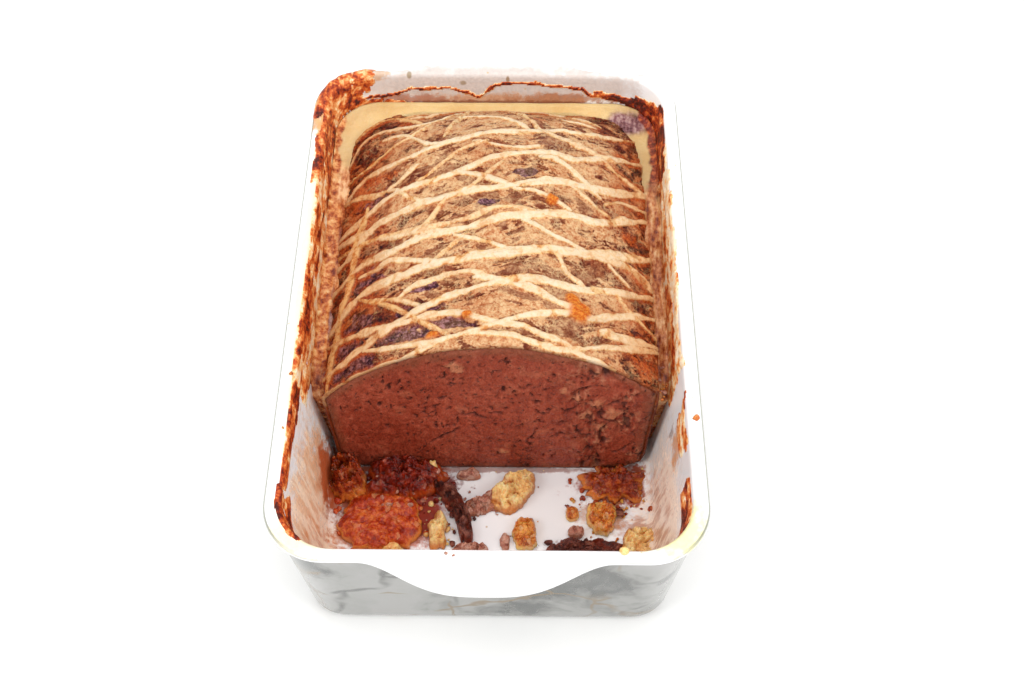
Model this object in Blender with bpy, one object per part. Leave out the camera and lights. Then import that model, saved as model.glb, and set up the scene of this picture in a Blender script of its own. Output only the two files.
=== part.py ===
"""Half-eaten loaf of baked pate in its own oblong stoneware baking dish.

Metres, +Z up. The origin is at the middle of the dish's foot, on the surface that the dish stands on.
X runs across the dish and Y along it. The loaf's cut face looks to -Y, over the emptied front of the dish.
"""

import math

import bmesh
import bpy
from mathutils import Matrix, Vector, noise

MM = 0.001

# Dish: the rim, its wave-shaped handles, and the tapered wall below it.
RIM_WIDTH = 152 * MM
RIM_LENGTH = 230 * MM
RIM_HEIGHT = 68 * MM
RIM_CORNER = 21.5 * MM
RIM_DEPTH = 5.4 * MM
RIM_SIDE = 5.6 * MM
RIM_END = 4.0 * MM
RIM_OVERHANG = 2.6 * MM
HANDLE_WIDTH = 86 * MM
HANDLE_REACH = 11.8 * MM
HANDLE_DROP = 0.8 * MM
FOOT_INSET = 8.0 * MM
FOOT_CORNER = 15.5 * MM
FOOT_ROUND = 5.0 * MM
FLOOR_HEIGHT = 6 * MM
FLOOR_INSET = 8.9 * MM
FLOOR_CORNER = 16 * MM
FLOOR_ROUND = 9 * MM
INNER_CORNER = 19.5 * MM
INNER_EDGE_ROUND = 1.4 * MM

# How the dish's roundings run: angles from straight out, and the shares that shape the softened edges.
FOOT_ARC = (-90, -8, 4)
RIM_ARC = (-62, 78, 6)
FLOOR_ARC_STEPS = 5
RIM_FILLET_DROP = 1.6 * MM
RIM_FILLET_OUT = 0.7 * MM
RIM_FILLET_RISE = 0.4 * MM
HANDLE_DROOP_BELOW = 0.4
EDGE_MIDDLE_OUT = 0.3
EDGE_MIDDLE_DOWN = 0.35
EDGE_FOOT_DOWN = 1.4
FLOOR_ROUND_INSIDE = 0.87
FLOOR_ROUND_STEEPEST = 0.99
LEAST_INNER_CORNER = 3 * MM
LEAST_FLOOR_CORNER = 5 * MM

# Loaf: an arched top on nearly straight sides, cut across with a knife that leans back a little.
LOAF_HALF_WIDTH = 62.3 * MM
LOAF_HALF_LENGTH = 104 * MM
LOAF_CORNER = 31 * MM
LOAF_TAPER = 0.05
LOAF_SIDE_TOP = 50 * MM
LOAF_BOTTOM_INSET = 12 * MM
LOAF_BOTTOM_ROUND = 9 * MM
LOAF_SIDE_DRAFT = 3.2 * MM
CROWN_HEIGHT = 83.2 * MM
CROWN_RADIUS = 81 * MM
CROWN_SHIFT = 2.5 * MM
END_FALL = 60 * MM
END_FULLNESS = 0.85
CROWN_WAVER = 1.1 * MM
CROWN_WAVER_SIZE = 26 * MM
CROWN_LEAST_CORNER = 3.5 * MM
CROWN_INSETS = (0.012, 0.035, 0.075, 0.13, 0.2, 0.29, 0.39, 0.5, 0.61, 0.72, 0.83, 0.93)
BOTTOM_ARC_STEPS = 3
SIDE_HEIGHTS = (28 * MM, 40 * MM, LOAF_SIDE_TOP)
CUT_AT_FOOT = -45 * MM
CUT_LEAN = 0.06

# Set fat and jelly between the loaf and the dish.
FAT_LEVEL = 53.5 * MM
FAT_LEVEL_FRONT = 49 * MM
FAT_FOOT = 16 * MM
FAT_FRONT = -37 * MM
FAT_LEVELS_OFF_AT = 0.6
FAT_SIDE_STEPS = 10
FAT_BACK_STEPS = 6

# Scraps: two sizes of lump, how square they are, and how their height lies about their middle.
LUMP_COARSE = 1.3
LUMP_FINE = 2.9
LUMP_FINE_SHARE = 0.5
LUMP_COARSE_SEED = Vector((7.1, 3.3, 1.0))
LUMP_FINE_SEED = Vector((1.0, 5.7, 2.2))
SQUARE_POWER = 1.5
SQUARE_LEAST = 0.55
SQUARE_SHARE = 0.25
SCRAP_TOP = 0.62
SCRAP_MIDDLE = 0.38
LEAST_EDGE = 0.02 * MM

# Pieces that touch keep this much between them.
GAP = 0.35 * MM
SCRAP_GAP = 0.5 * MM

CORNER_STEPS = 7
SIDE_STEPS = 6
END_STEPS = 20


def clear_scene():
    """Empty the file of objects, whatever it was opened with."""
    for old in list(bpy.data.objects):
        bpy.data.objects.remove(old, do_unlink=True)


def material(name, colour, roughness):
    """One plain Principled finish."""
    made = bpy.data.materials.new(name)
    made.use_nodes = True
    shader = made.node_tree.nodes["Principled BSDF"]
    shader.inputs["Base Color"].default_value = (*colour, 1.0)
    shader.inputs["Roughness"].default_value = roughness
    shader.inputs["Metallic"].default_value = 0.0
    made.diffuse_color = (*colour, 1.0)
    return made


def mix(low, high, share):
    """The value that lies `share` of the way from low to high."""
    return low + (high - low) * share


# ---------------------------------------------------------------- outlines


def handle_wave(x):
    """How far a handle sticks out at x, from 0 where it leaves the rim to 1 at its middle."""
    along = min(abs(x) / (HANDLE_WIDTH / 2), 1.0)
    return 0.5 * (1 + math.cos(math.pi * along**1.5))


def outline(half_x, half_y, radius, reach=0.0):
    """Points of a rounded oblong, anticlockwise from the right side's front end.

    The handles stick out by reach.
    """
    straight_x = half_x - radius
    straight_y = half_y - radius
    points = []
    for turn in range(4):
        on_side = turn % 2 == 0
        sign = 1 - turn if on_side else 2 - turn
        steps = SIDE_STEPS if on_side else END_STEPS
        for step in range(steps):
            along = mix(-sign, sign, step / steps)
            if on_side:
                points.append((sign * half_x, straight_y * along))
            else:
                x = -straight_x * along
                points.append((x, sign * (half_y + reach * handle_wave(x))))
        centre_x = straight_x if turn in (0, 3) else -straight_x
        centre_y = straight_y if turn in (0, 1) else -straight_y
        for step in range(CORNER_STEPS):
            angle = math.pi / 2 * (turn + step / CORNER_STEPS)
            points.append((centre_x + radius * math.cos(angle), centre_y + radius * math.sin(angle)))
    return points


def handle_share(x, y):
    """1 on a handle's middle and 0 on the rest of the rim, for the handle's slight droop."""
    past = (abs(y) - (RIM_LENGTH / 2 - RIM_END)) / HANDLE_REACH
    return handle_wave(x) * min(max(past, 0.0), 1.0)


def foot_half(side):
    """Half the outer size of the foot, across ("x") or along ("y") the dish."""
    rim = RIM_WIDTH if side == "x" else RIM_LENGTH
    return rim / 2 - FOOT_INSET


def inner_half(side, z):
    """Half the inner size of the dish at height z on its straight wall."""
    rim, edge = (RIM_WIDTH, RIM_SIDE) if side == "x" else (RIM_LENGTH, RIM_END)
    top = rim / 2 - edge
    bottom = top - FLOOR_INSET
    return mix(bottom, top, (z - FLOOR_HEIGHT) / (RIM_HEIGHT - FLOOR_HEIGHT))


def inner_corner(z):
    """The inner wall's corner radius at height z."""
    return mix(FLOOR_CORNER, INNER_CORNER, (z - FLOOR_HEIGHT) / (RIM_HEIGHT - FLOOR_HEIGHT))


def floor_height(x, y):
    """Height of the dish's inner surface under a point, with the round edge of its floor."""
    corner = inner_corner(FLOOR_HEIGHT)
    past_x = abs(x) - (inner_half("x", FLOOR_HEIGHT) - corner)
    past_y = abs(y) - (inner_half("y", FLOOR_HEIGHT) - corner)
    outside = math.hypot(max(past_x, 0), max(past_y, 0)) + min(max(past_x, past_y), 0) - corner
    up_the_round = outside + FLOOR_ROUND * FLOOR_ROUND_INSIDE
    if up_the_round <= 0:
        return FLOOR_HEIGHT
    rise = min(up_the_round, FLOOR_ROUND * FLOOR_ROUND_STEEPEST)
    return FLOOR_HEIGHT + FLOOR_ROUND - math.sqrt(FLOOR_ROUND**2 - rise**2)


def loaf_half(side, z):
    """Half the size of the loaf at height z on its side."""
    top = LOAF_HALF_WIDTH if side == "x" else LOAF_HALF_LENGTH
    up = (z - FLOOR_HEIGHT) / (LOAF_SIDE_TOP - FLOOR_HEIGHT)
    return top - LOAF_SIDE_DRAFT * (1 - min(up, 1.0))


def tapered(x, y):
    """X of a point on the loaf, which narrows a little from its cut face to its back end."""
    along = (y - CUT_AT_FOOT) / (LOAF_HALF_LENGTH - CUT_AT_FOOT)
    return x * (1 - LOAF_TAPER * min(max(along, 0), 1))


def crown_height(x, y):
    """Height of the loaf's arched top over a point; it falls away at the two ends."""
    arch = CROWN_HEIGHT - CROWN_RADIUS + math.sqrt(CROWN_RADIUS**2 - (x - CROWN_SHIFT) ** 2)
    fall = max(abs(y) - (LOAF_HALF_LENGTH - END_FALL), 0) / END_FALL
    kept = max(1 - fall**2, 0) ** END_FULLNESS
    waver = CROWN_WAVER * noise.noise(Vector((x, y, 0.0)) / CROWN_WAVER_SIZE)
    return LOAF_SIDE_TOP + (arch - LOAF_SIDE_TOP + waver) * kept


# ---------------------------------------------------------------- meshes


def loft(rows):
    """A closed bmesh through rows of equally many points, bottom row first, its two ends capped."""
    bm = bmesh.new()
    rings = [[bm.verts.new(point) for point in row] for row in rows]
    count = len(rings[0])
    for low, high in zip(rings, rings[1:]):
        for i in range(count):
            j = (i + 1) % count
            bm.faces.new((low[i], low[j], high[j], high[i]))
    bm.faces.new(list(reversed(rings[0])))
    bm.faces.new(rings[-1])
    return bm


def finish(name, bm, finish_material, smooth_angle=math.radians(32)):
    """Turn a closed bmesh into a named, smooth-shaded object."""
    bmesh.ops.recalc_face_normals(bm, faces=bm.faces)
    mesh = bpy.data.meshes.new(name)
    bm.to_mesh(mesh)
    bm.free()
    mesh.materials.append(finish_material)
    mesh.shade_smooth()
    mesh.set_sharp_from_angle(angle=smooth_angle)
    made = bpy.data.objects.new(name, mesh)
    bpy.context.scene.collection.objects.link(made)
    return made


def arc(centre, radius, start, end, steps):
    """Points (out, up) on an arc, its two ends included; angles in degrees from straight out."""
    points = []
    for step in range(steps + 1):
        angle = math.radians(mix(start, end, step / steps))
        points.append((centre[0] + radius * math.cos(angle), centre[1] + radius * math.sin(angle)))
    return points


def dish():
    """The baking dish: foot, outer wall, rim with two handles, inner wall and floor."""
    rows = []

    def outer_row(half_x, half_y, grow, z, corner):
        rows.append([(x, y, z) for x, y in outline(half_x + grow, half_y + grow, corner + grow)])

    for out, up in arc((-FOOT_ROUND, FOOT_ROUND), FOOT_ROUND, *FOOT_ARC):
        outer_row(foot_half("x"), foot_half("y"), out, up, FOOT_CORNER)
    rim_foot = RIM_HEIGHT - RIM_DEPTH
    for out, down in ((0.0, RIM_FILLET_DROP), (RIM_FILLET_OUT, RIM_FILLET_RISE)):
        outer_row(RIM_WIDTH / 2, RIM_LENGTH / 2, out - RIM_OVERHANG, rim_foot - down, RIM_CORNER)
    edge = RIM_DEPTH / 2
    for out, up in arc((-edge, rim_foot + edge), edge, *RIM_ARC):
        drop = HANDLE_DROP * mix(HANDLE_DROOP_BELOW, 1.0, (up - rim_foot) / RIM_DEPTH)
        points = outline(RIM_WIDTH / 2 + out, RIM_LENGTH / 2 + out, RIM_CORNER + out, HANDLE_REACH)
        rows.append([(x, y, up - drop * handle_share(x, y)) for x, y in points])

    def inner_row(inset, z):
        half_x = inner_half("x", z) - inset
        half_y = inner_half("y", z) - inset
        corner = max(inner_corner(z) - inset, LEAST_INNER_CORNER)
        rows.append([(x, y, z) for x, y in outline(half_x, half_y, corner)])

    for out, down in ((1.0, 0.0), (EDGE_MIDDLE_OUT, EDGE_MIDDLE_DOWN), (0.0, EDGE_FOOT_DOWN)):
        inner_row(-out * INNER_EDGE_ROUND, RIM_HEIGHT - down * INNER_EDGE_ROUND)
    draft = math.degrees(math.atan(FLOOR_INSET / (RIM_HEIGHT - FLOOR_HEIGHT)))
    foot_x = inner_half("x", FLOOR_HEIGHT)
    foot_y = inner_half("y", FLOOR_HEIGHT)
    round_centre = (-FLOOR_ROUND_INSIDE * FLOOR_ROUND, FLOOR_HEIGHT + FLOOR_ROUND)
    floor_round = arc(round_centre, FLOOR_ROUND, -draft, -90, FLOOR_ARC_STEPS)
    start_out, start_up = floor_round[0]
    for out, up in floor_round:
        corner = max(inner_corner(start_up) + out - start_out, LEAST_FLOOR_CORNER)
        rows.append([(x, y, up) for x, y in outline(foot_x + out, foot_y + out, corner)])
    return finish("dish", loft(rows), material("glaze", (0.86, 0.86, 0.84), 0.12))


def loaf():
    """The loaf, domed and rounded all round, with its eaten front cut off by a plane."""
    bottom = FLOOR_HEIGHT + GAP
    spare = LOAF_HALF_LENGTH - LOAF_HALF_WIDTH
    rows = []

    def side_row(half_x, z, corner):
        rows.append([(tapered(x, y), y, z) for x, y in outline(half_x, half_x + spare, corner)])

    for out, up in arc((-1, 1), 1, -90, 0, BOTTOM_ARC_STEPS):
        z = bottom + LOAF_BOTTOM_ROUND * up
        inset = LOAF_BOTTOM_INSET * out
        side_row(loaf_half("x", z) + inset, z, LOAF_CORNER + inset)
    for z in SIDE_HEIGHTS:
        side_row(loaf_half("x", z), z, LOAF_CORNER)
    for inward in CROWN_INSETS:
        half_x = LOAF_HALF_WIDTH * (1 - inward)
        corner = max(LOAF_CORNER * (1 - inward), CROWN_LEAST_CORNER)
        ring = [(tapered(x, y), y) for x, y in outline(half_x, half_x + spare, corner)]
        rows.append([(x, y, crown_height(x, y)) for x, y in ring])
    bm = loft(rows)
    cut_point = Vector((0, CUT_AT_FOOT, FLOOR_HEIGHT))
    cut_normal = Vector((0, 1, -CUT_LEAN)).normalized()
    everything = bm.verts[:] + bm.edges[:] + bm.faces[:]
    bmesh.ops.bisect_plane(bm, geom=everything, plane_co=cut_point, plane_no=cut_normal, clear_inner=True)
    open_edges = [edge for edge in bm.edges if edge.is_boundary]
    bmesh.ops.holes_fill(bm, edges=open_edges)
    return finish("loaf", bm, material("pate", (0.36, 0.14, 0.09), 0.6))


def u_path(half_x, half_y, corner, front):
    """Points from the left side's front end round the back to the right side's front end."""
    straight_x = half_x - corner
    straight_y = half_y - corner
    points = [(-half_x, mix(front, straight_y, step / FAT_SIDE_STEPS)) for step in range(FAT_SIDE_STEPS)]
    for step in range(CORNER_STEPS + 1):
        angle = math.pi - math.pi / 2 * step / CORNER_STEPS
        points.append((-straight_x + corner * math.cos(angle), straight_y + corner * math.sin(angle)))
    left = points[:]
    for step in range(1, FAT_BACK_STEPS):
        points.append((mix(-straight_x, straight_x, step / FAT_BACK_STEPS), half_y))
    return points + [(-x, y) for x, y in reversed(left)]


def fat_path(z, against):
    """The path along the set fat's outer or inner side at height z, clear of the dish or the loaf."""
    if against == "dish":
        return u_path(inner_half("x", z) - GAP, inner_half("y", z) - GAP, inner_corner(z), FAT_FRONT)
    path = u_path(loaf_half("x", z) + GAP, loaf_half("y", z) + GAP, LOAF_CORNER, FAT_FRONT)
    return [(tapered(x, y), y) for x, y in path]


def set_fat():
    """Fat and jelly that have set between the loaf and the dish, level behind and lower to the front."""
    rows = []
    for i, (_, y) in enumerate(fat_path(FAT_LEVEL, "dish")):
        back = (y - FAT_FRONT) / (FAT_LEVELS_OFF_AT * LOAF_HALF_LENGTH - FAT_FRONT)
        level = mix(FAT_LEVEL_FRONT, FAT_LEVEL, min(max(back, 0), 1))
        heights = (FAT_FOOT, mix(FAT_FOOT, level, 0.5), level)
        ring = [(*fat_path(z, "dish")[i], z) for z in heights]
        ring += [(*fat_path(z, "loaf")[i], z) for z in reversed(heights)]
        rows.append(ring)
    return finish("set_fat", loft(rows), material("fat", (0.82, 0.68, 0.42), 0.35))


def cut_plane(z):
    """Y of the loaf's cut face at height z."""
    return CUT_AT_FOOT + CUT_LEAN * (z - FLOOR_HEIGHT)


def scrap(name, finish_material, place, size, turn, seed, rough=0.22, fine=2):
    """A torn scrap of food lying on the dish's floor.

    place is its middle (x, y) and size its length, width and height, all in millimetres; turn is in degrees.
    """
    bm = bmesh.new()
    bmesh.ops.create_icosphere(bm, subdivisions=fine, radius=1.0)
    spin = Matrix.Rotation(math.radians(turn), 4, "Z")
    length, width, height = (side * MM for side in size)
    for vert in bm.verts:
        way = vert.co.normalized()
        bump = noise.noise(way * LUMP_COARSE + seed * LUMP_COARSE_SEED)
        bump += LUMP_FINE_SHARE * noise.noise(way * LUMP_FINE + seed * LUMP_FINE_SEED)
        reach = 1 + rough * bump
        square = 1 / max(abs(way.x) ** SQUARE_POWER, abs(way.y) ** SQUARE_POWER, SQUARE_LEAST) ** SQUARE_SHARE
        half_size = Vector((length / 2 * square, width / 2 * square, height * SCRAP_TOP))
        local = Vector((way.x * half_size.x, way.y * half_size.y, way.z * half_size.z)) * reach
        spot = spin @ local + Vector((place[0] * MM, place[1] * MM, 0))
        floor = floor_height(spot.x, spot.y) + SCRAP_GAP
        middle = floor_height(place[0] * MM, place[1] * MM) + SCRAP_GAP + height * SCRAP_MIDDLE
        spot.z = max(middle + local.z, floor)
        spot.y = min(spot.y, cut_plane(spot.z) - SCRAP_GAP)
        vert.co = spot
    bmesh.ops.dissolve_degenerate(bm, dist=LEAST_EDGE, edges=bm.edges)
    return finish(name, bm, finish_material, math.radians(50))


def scraps():
    """Jelly, fat, meat and crust left on the floor where slices have been taken."""
    jelly = material("jelly", (0.62, 0.16, 0.03), 0.15)
    dark = material("dark_jelly", (0.22, 0.05, 0.03), 0.25)
    fat = material("fat_scrap", (0.80, 0.60, 0.34), 0.45)
    meat = material("meat_scrap", (0.48, 0.26, 0.20), 0.6)
    crust = material("crust_scrap", (0.14, 0.05, 0.03), 0.5)
    scrap("jelly_slab", jelly, (-42.5, -69.8), (26, 20.5, 6.5), 8, 1, rough=0.3, fine=3)
    scrap("jelly_heap", dark, (-34.0, -52.4), (22, 11, 11), -6, 2, rough=0.35, fine=3)
    scrap("jelly_left", dark, (-56.8, -53.0), (9, 15, 13), 0, 3, rough=0.2)
    scrap("jelly_right", dark, (49.0, -52.6), (22, 13, 6), 4, 4, rough=0.35, fine=3)
    scrap("crust_strip", crust, (-14.8, -62.0), (30, 6, 8), -66, 5, rough=0.25, fine=3)
    scrap("fat_strip", fat, (-20.2, -73.4), (16, 7, 7), 88, 6, rough=0.25)
    scrap("fat_sliver", fat, (-22.6, -48.2), (5, 3, 10), 20, 7)
    scrap("meat_crumb", meat, (-4.2, -63.4), (11, 7, 6.5), 24, 8, rough=0.3)
    scrap("fat_lump", fat, (8.8, -56.0), (14, 11, 7.5), 38, 9, rough=0.3, fine=3)
    scrap("jelly_scrap", jelly, (13.2, -74.4), (14, 8.5, 6), 105, 10, rough=0.3)
    scrap("meat_sliver", meat, (5.6, -77.8), (8, 2.6, 2.6), 105, 11)
    scrap("fat_bead", fat, (31.8, -65.8), (6.2, 5.0, 4), 70, 12)
    scrap("jelly_lump", jelly, (43.6, -67.0), (15, 9.5, 6.5), 112, 13, rough=0.3, fine=3)
    scrap("meat_scrap", meat, (33.2, -73.6), (6.5, 4.6, 4.5), 30, 14)
    scrap("crust_flake", crust, (34.6, -81.4), (28, 8, 5.5), 3, 15, rough=0.3, fine=3)
    scrap("corner_lump", fat, (57.2, -78.8), (12, 9, 7), 48, 16, rough=0.3)
    scrap("corner_scrap", fat, (-36.5, -84.2), (13, 5, 8), 3, 17)
    scrap("front_scrap", meat, (-7.5, -82.6), (14, 5.5, 7), 4, 18)
    scrap("foot_crumb", meat, (-9.0, -48.8), (9, 4, 4.5), 5, 19)


def main():
    """Build every piece."""
    clear_scene()
    dish()
    loaf()
    set_fat()
    scraps()


main()
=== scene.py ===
"""Looks of a baked pate in its baking dish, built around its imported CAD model.

Every size is in metres; MM turns a figure in millimetres into metres.
"""

from __future__ import annotations

import logging
import math
from contextlib import contextmanager
from dataclasses import dataclass, field
from enum import Enum
from itertools import product
from typing import Iterator, Sequence

import bpy
import numpy as np
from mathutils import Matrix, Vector


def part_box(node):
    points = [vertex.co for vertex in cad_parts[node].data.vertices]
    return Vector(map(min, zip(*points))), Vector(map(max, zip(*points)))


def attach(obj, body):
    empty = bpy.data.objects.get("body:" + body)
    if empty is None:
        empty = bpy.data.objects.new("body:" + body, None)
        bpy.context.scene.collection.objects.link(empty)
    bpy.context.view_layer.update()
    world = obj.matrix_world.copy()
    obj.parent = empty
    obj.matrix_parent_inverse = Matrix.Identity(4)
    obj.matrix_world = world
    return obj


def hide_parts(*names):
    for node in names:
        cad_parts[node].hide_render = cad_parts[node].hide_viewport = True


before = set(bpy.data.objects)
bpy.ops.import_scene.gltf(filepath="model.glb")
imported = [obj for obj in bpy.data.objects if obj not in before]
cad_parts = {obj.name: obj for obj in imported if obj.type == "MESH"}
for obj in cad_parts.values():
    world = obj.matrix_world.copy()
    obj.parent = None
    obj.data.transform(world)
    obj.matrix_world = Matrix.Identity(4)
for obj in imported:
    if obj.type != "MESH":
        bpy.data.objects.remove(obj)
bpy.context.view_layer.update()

MM = 0.001
BODY = "root"
WELD_REACH = 0.002 * MM
LOG = logging.getLogger("pate")

Colour = tuple[float, float, float]
Place = tuple[float, float, float]
Socket = bpy.types.NodeSocket
Piece = bpy.types.Object
Finish = bpy.types.Material
Array = np.ndarray


# ---- small tools


def tone(red: int, green: int, blue: int) -> Colour:
    """A colour from its screen values, 0 to 255, as linear light."""

    def linear(value: int) -> float:
        """One channel as linear light."""
        share = value / 255
        return share / 12.92 if share <= 0.04045 else ((share + 0.055) / 1.055) ** 2.4

    return linear(red), linear(green), linear(blue)


def in_metres(*sizes: float) -> tuple[float, ...]:
    """Figures in millimetres as metres."""
    return tuple(size * MM for size in sizes)


def blend(low, high, share):
    """What lies `share` of the way from low to high."""
    return low + (high - low) * share


def ease(value: Array, low: float, high: float) -> Array:
    """A soft step: 0 below low, 1 above high."""
    share = np.clip((value - low) / (high - low), 0.0, 1.0)
    return share * share * (3 - 2 * share)


def deselect() -> None:
    """Leave nothing selected."""
    if bpy.context.object is not None and bpy.context.object.mode != "OBJECT":
        bpy.ops.object.mode_set(mode="OBJECT")
    bpy.ops.object.select_all(action="DESELECT")


def pick(piece: Piece) -> None:
    """Select one piece alone and make it active."""
    deselect()
    piece.select_set(True)
    bpy.context.view_layer.objects.active = piece


def points_of(piece: Piece) -> Array:
    """The piece's points as an array of rows x, y, z."""
    flat = np.empty(len(piece.data.vertices) * 3)
    piece.data.vertices.foreach_get("co", flat)
    return flat.reshape(-1, 3)


def normals_of(piece: Piece) -> Array:
    """The piece's point normals as an array of rows x, y, z."""
    flat = np.empty(len(piece.data.vertices) * 3)
    piece.data.vertex_normals.foreach_get("vector", flat)
    return flat.reshape(-1, 3)


def put_points(piece: Piece, points: Array) -> None:
    """Move the piece's points."""
    piece.data.vertices.foreach_set("co", np.ascontiguousarray(points, float).ravel())
    piece.data.update()


def give(piece: Piece, name: str, values: Array) -> None:
    """Store one number for each point, for the piece's finish to read."""
    layer = piece.data.attributes.get(name) or piece.data.attributes.new(name, "FLOAT", "POINT")
    layer.data.foreach_set("value", np.ascontiguousarray(values, np.float32))


def ring_at(flat: Array, z) -> Array:
    """Rows of x, y, z: the flat rows of x, y at height z, one height or one for each row."""
    return np.column_stack([flat, np.broadcast_to(z, len(flat))])


def modify(piece: Piece, kind: str, **settings) -> None:
    """Add one modifier and apply it.

    Args:
        piece: the mesh to change.
        kind: the modifier's type.
        settings: the modifier's own settings.
    """
    pick(piece)
    made = piece.modifiers.new(kind.title(), kind)
    for key, value in settings.items():
        setattr(made, key, value)
    bpy.ops.object.modifier_apply(modifier=made.name)


def shaped_grid(name: str, points: Array) -> Piece:
    """A grid laid through an array of points.

    Args:
        name: the new piece's name.
        points: an array of rows, columns and x, y, z.

    Returns:
        The new piece.
    """
    rows, columns = points.shape[:2]
    deselect()
    bpy.ops.mesh.primitive_grid_add(x_subdivisions=columns - 1, y_subdivisions=rows - 1, size=1.0)
    piece = bpy.context.object
    piece.name = piece.data.name = name
    put_points(piece, points.reshape(-1, 3))
    return piece


def join(pieces: Sequence[Piece]) -> Piece:
    """Join pieces into the first of them."""
    deselect()
    for piece in pieces:
        piece.select_set(True)
    bpy.context.view_layer.objects.active = pieces[0]
    bpy.ops.object.join()
    return pieces[0]


@contextmanager
def editing(piece: Piece, kind: str = "FACE", chosen: Sequence[int] | None = None) -> Iterator[None]:
    """Edit mode for the steps inside it.

    Args:
        piece: the mesh to edit.
        kind: what is chosen, VERT or FACE.
        chosen: the numbers of the points or faces to select, or None for all of the piece.
    """
    pick(piece)
    bpy.ops.object.mode_set(mode="EDIT")
    if chosen is None:
        bpy.ops.mesh.select_all(action="SELECT")
    else:
        bpy.ops.mesh.select_mode(type=kind)
        bpy.ops.mesh.select_all(action="DESELECT")
        bpy.ops.object.mode_set(mode="OBJECT")
        parts = piece.data.vertices if kind == "VERT" else piece.data.polygons
        for index in chosen:
            parts[int(index)].select = True
        bpy.ops.object.mode_set(mode="EDIT")
    yield
    bpy.ops.object.mode_set(mode="OBJECT")


def weld(piece: Piece, recalc: bool = True) -> None:
    """Merge points that lie on each other and, with recalc, turn every face outwards."""
    with editing(piece):
        bpy.ops.mesh.remove_doubles(threshold=WELD_REACH)
        if recalc:
            bpy.ops.mesh.normals_make_consistent(inside=False)


def turn_over(piece: Piece) -> None:
    """Turn every face of a piece to its other side."""
    with editing(piece):
        bpy.ops.mesh.flip_normals()


def close_holes(piece: Piece) -> None:
    """Fill every open edge loop with a face."""
    with editing(piece):
        bpy.ops.mesh.fill_holes(sides=0)
        bpy.ops.mesh.select_all(action="SELECT")
        bpy.ops.mesh.normals_make_consistent(inside=False)


def dress(piece: Piece, *finishes: Finish) -> None:
    """Give the piece its finishes and smooth shading."""
    piece.data.materials.clear()
    for made in finishes:
        piece.data.materials.append(made)
    piece.data.shade_smooth()


def hand_over(piece: Piece, slot: str, *nodes: str) -> Piece:
    """Tie a finished piece to the body and hide the CAD nodes it stands for."""
    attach(piece, BODY)
    if nodes:
        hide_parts(*nodes)
    LOG.info("%s: %d faces", piece.name, len(piece.data.polygons))
    return piece


class Grain:
    """Smooth noise in space, the same on every run."""

    def __init__(self, seed: int) -> None:
        """Shuffle the slopes for one seed."""
        draw = np.random.default_rng(seed)
        self.order = draw.permutation(256)
        slopes = draw.normal(size=(256, 3))
        self.slopes = slopes / np.linalg.norm(slopes, axis=1, keepdims=True)

    def at(self, points: Array, size: float) -> Array:
        """Noise of about -1 to 1 at each point.

        Args:
            points: an array of rows x, y, z.
            size: how wide one lump of the noise is, in millimetres.

        Returns:
            One number for each point.
        """
        scaled = points / (size * MM)
        cell = np.floor(scaled).astype(int)
        inside = scaled - cell
        soft = inside**3 * (inside * (inside * 6 - 15) + 10)
        total = np.zeros(len(points))
        for corner in product((0, 1), repeat=3):
            spot = (cell + corner) & 255
            key = self.order[(self.order[(self.order[spot[:, 0]] + spot[:, 1]) & 255] + spot[:, 2]) & 255]
            reach = (self.slopes[key] * (inside - corner)).sum(1)
            share = np.prod(np.where(np.array(corner, bool), soft, 1 - soft), axis=1)
            total += share * reach
        return total * 1.7

    def layers(self, points: Array, size: float, count: int = 3, keep: float = 0.5) -> Array:
        """Noise with finer and weaker layers on top."""
        total = np.zeros(len(points))
        share = 1.0
        for step in range(count):
            total += share * self.at(points + step * 0.37, size / 2**step)
            share *= keep
        return total

    def veins(self, points: Array, size: float) -> Array:
        """1 on thin wandering lines and 0 away from them."""
        return 1 - np.clip(np.abs(self.at(points, size)) * 6, 0, 1)


def spots_along(line: Array, shares: Array) -> Array:
    """Points that lie at those shares, 0 to 1, of the way along a line of points."""
    run = np.concatenate([[0], np.cumsum(np.linalg.norm(np.diff(line, axis=0), axis=1))])
    return np.stack([np.interp(shares * run[-1], run, column) for column in line.T], axis=1)


def past_oblong(flat: Array, half_x: float, half_y: float, corner: float) -> Array:
    """How far each point x, y lies outside a rounded oblong, below 0 inside it."""
    past = np.abs(flat) - np.array([half_x - corner, half_y - corner])
    return np.hypot(*np.maximum(past, 0).T) + np.minimum(past.max(1), 0) - corner


def flow(points: Sequence[tuple[float, float]], count: int) -> Array:
    """Evenly spaced points on a smooth curve through a few points."""
    spots = np.array(points, float)
    spots = np.vstack([2 * spots[0] - spots[1], spots, 2 * spots[-1] - spots[-2]])
    fine = []
    for i in range(1, len(spots) - 2):
        before, start, end, after = spots[i - 1 : i + 3]
        for t in np.linspace(0, 1, 14, endpoint=False):
            square = (2 * before - 5 * start + 4 * end - after) * t**2
            cube = (3 * start - before - 3 * end + after) * t**3
            fine.append(0.5 * (2 * start + (end - before) * t + (square + cube)))
    return spots_along(np.array(fine + [spots[-2]]), np.linspace(0, 1, count))


# ---- node finishes


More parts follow.
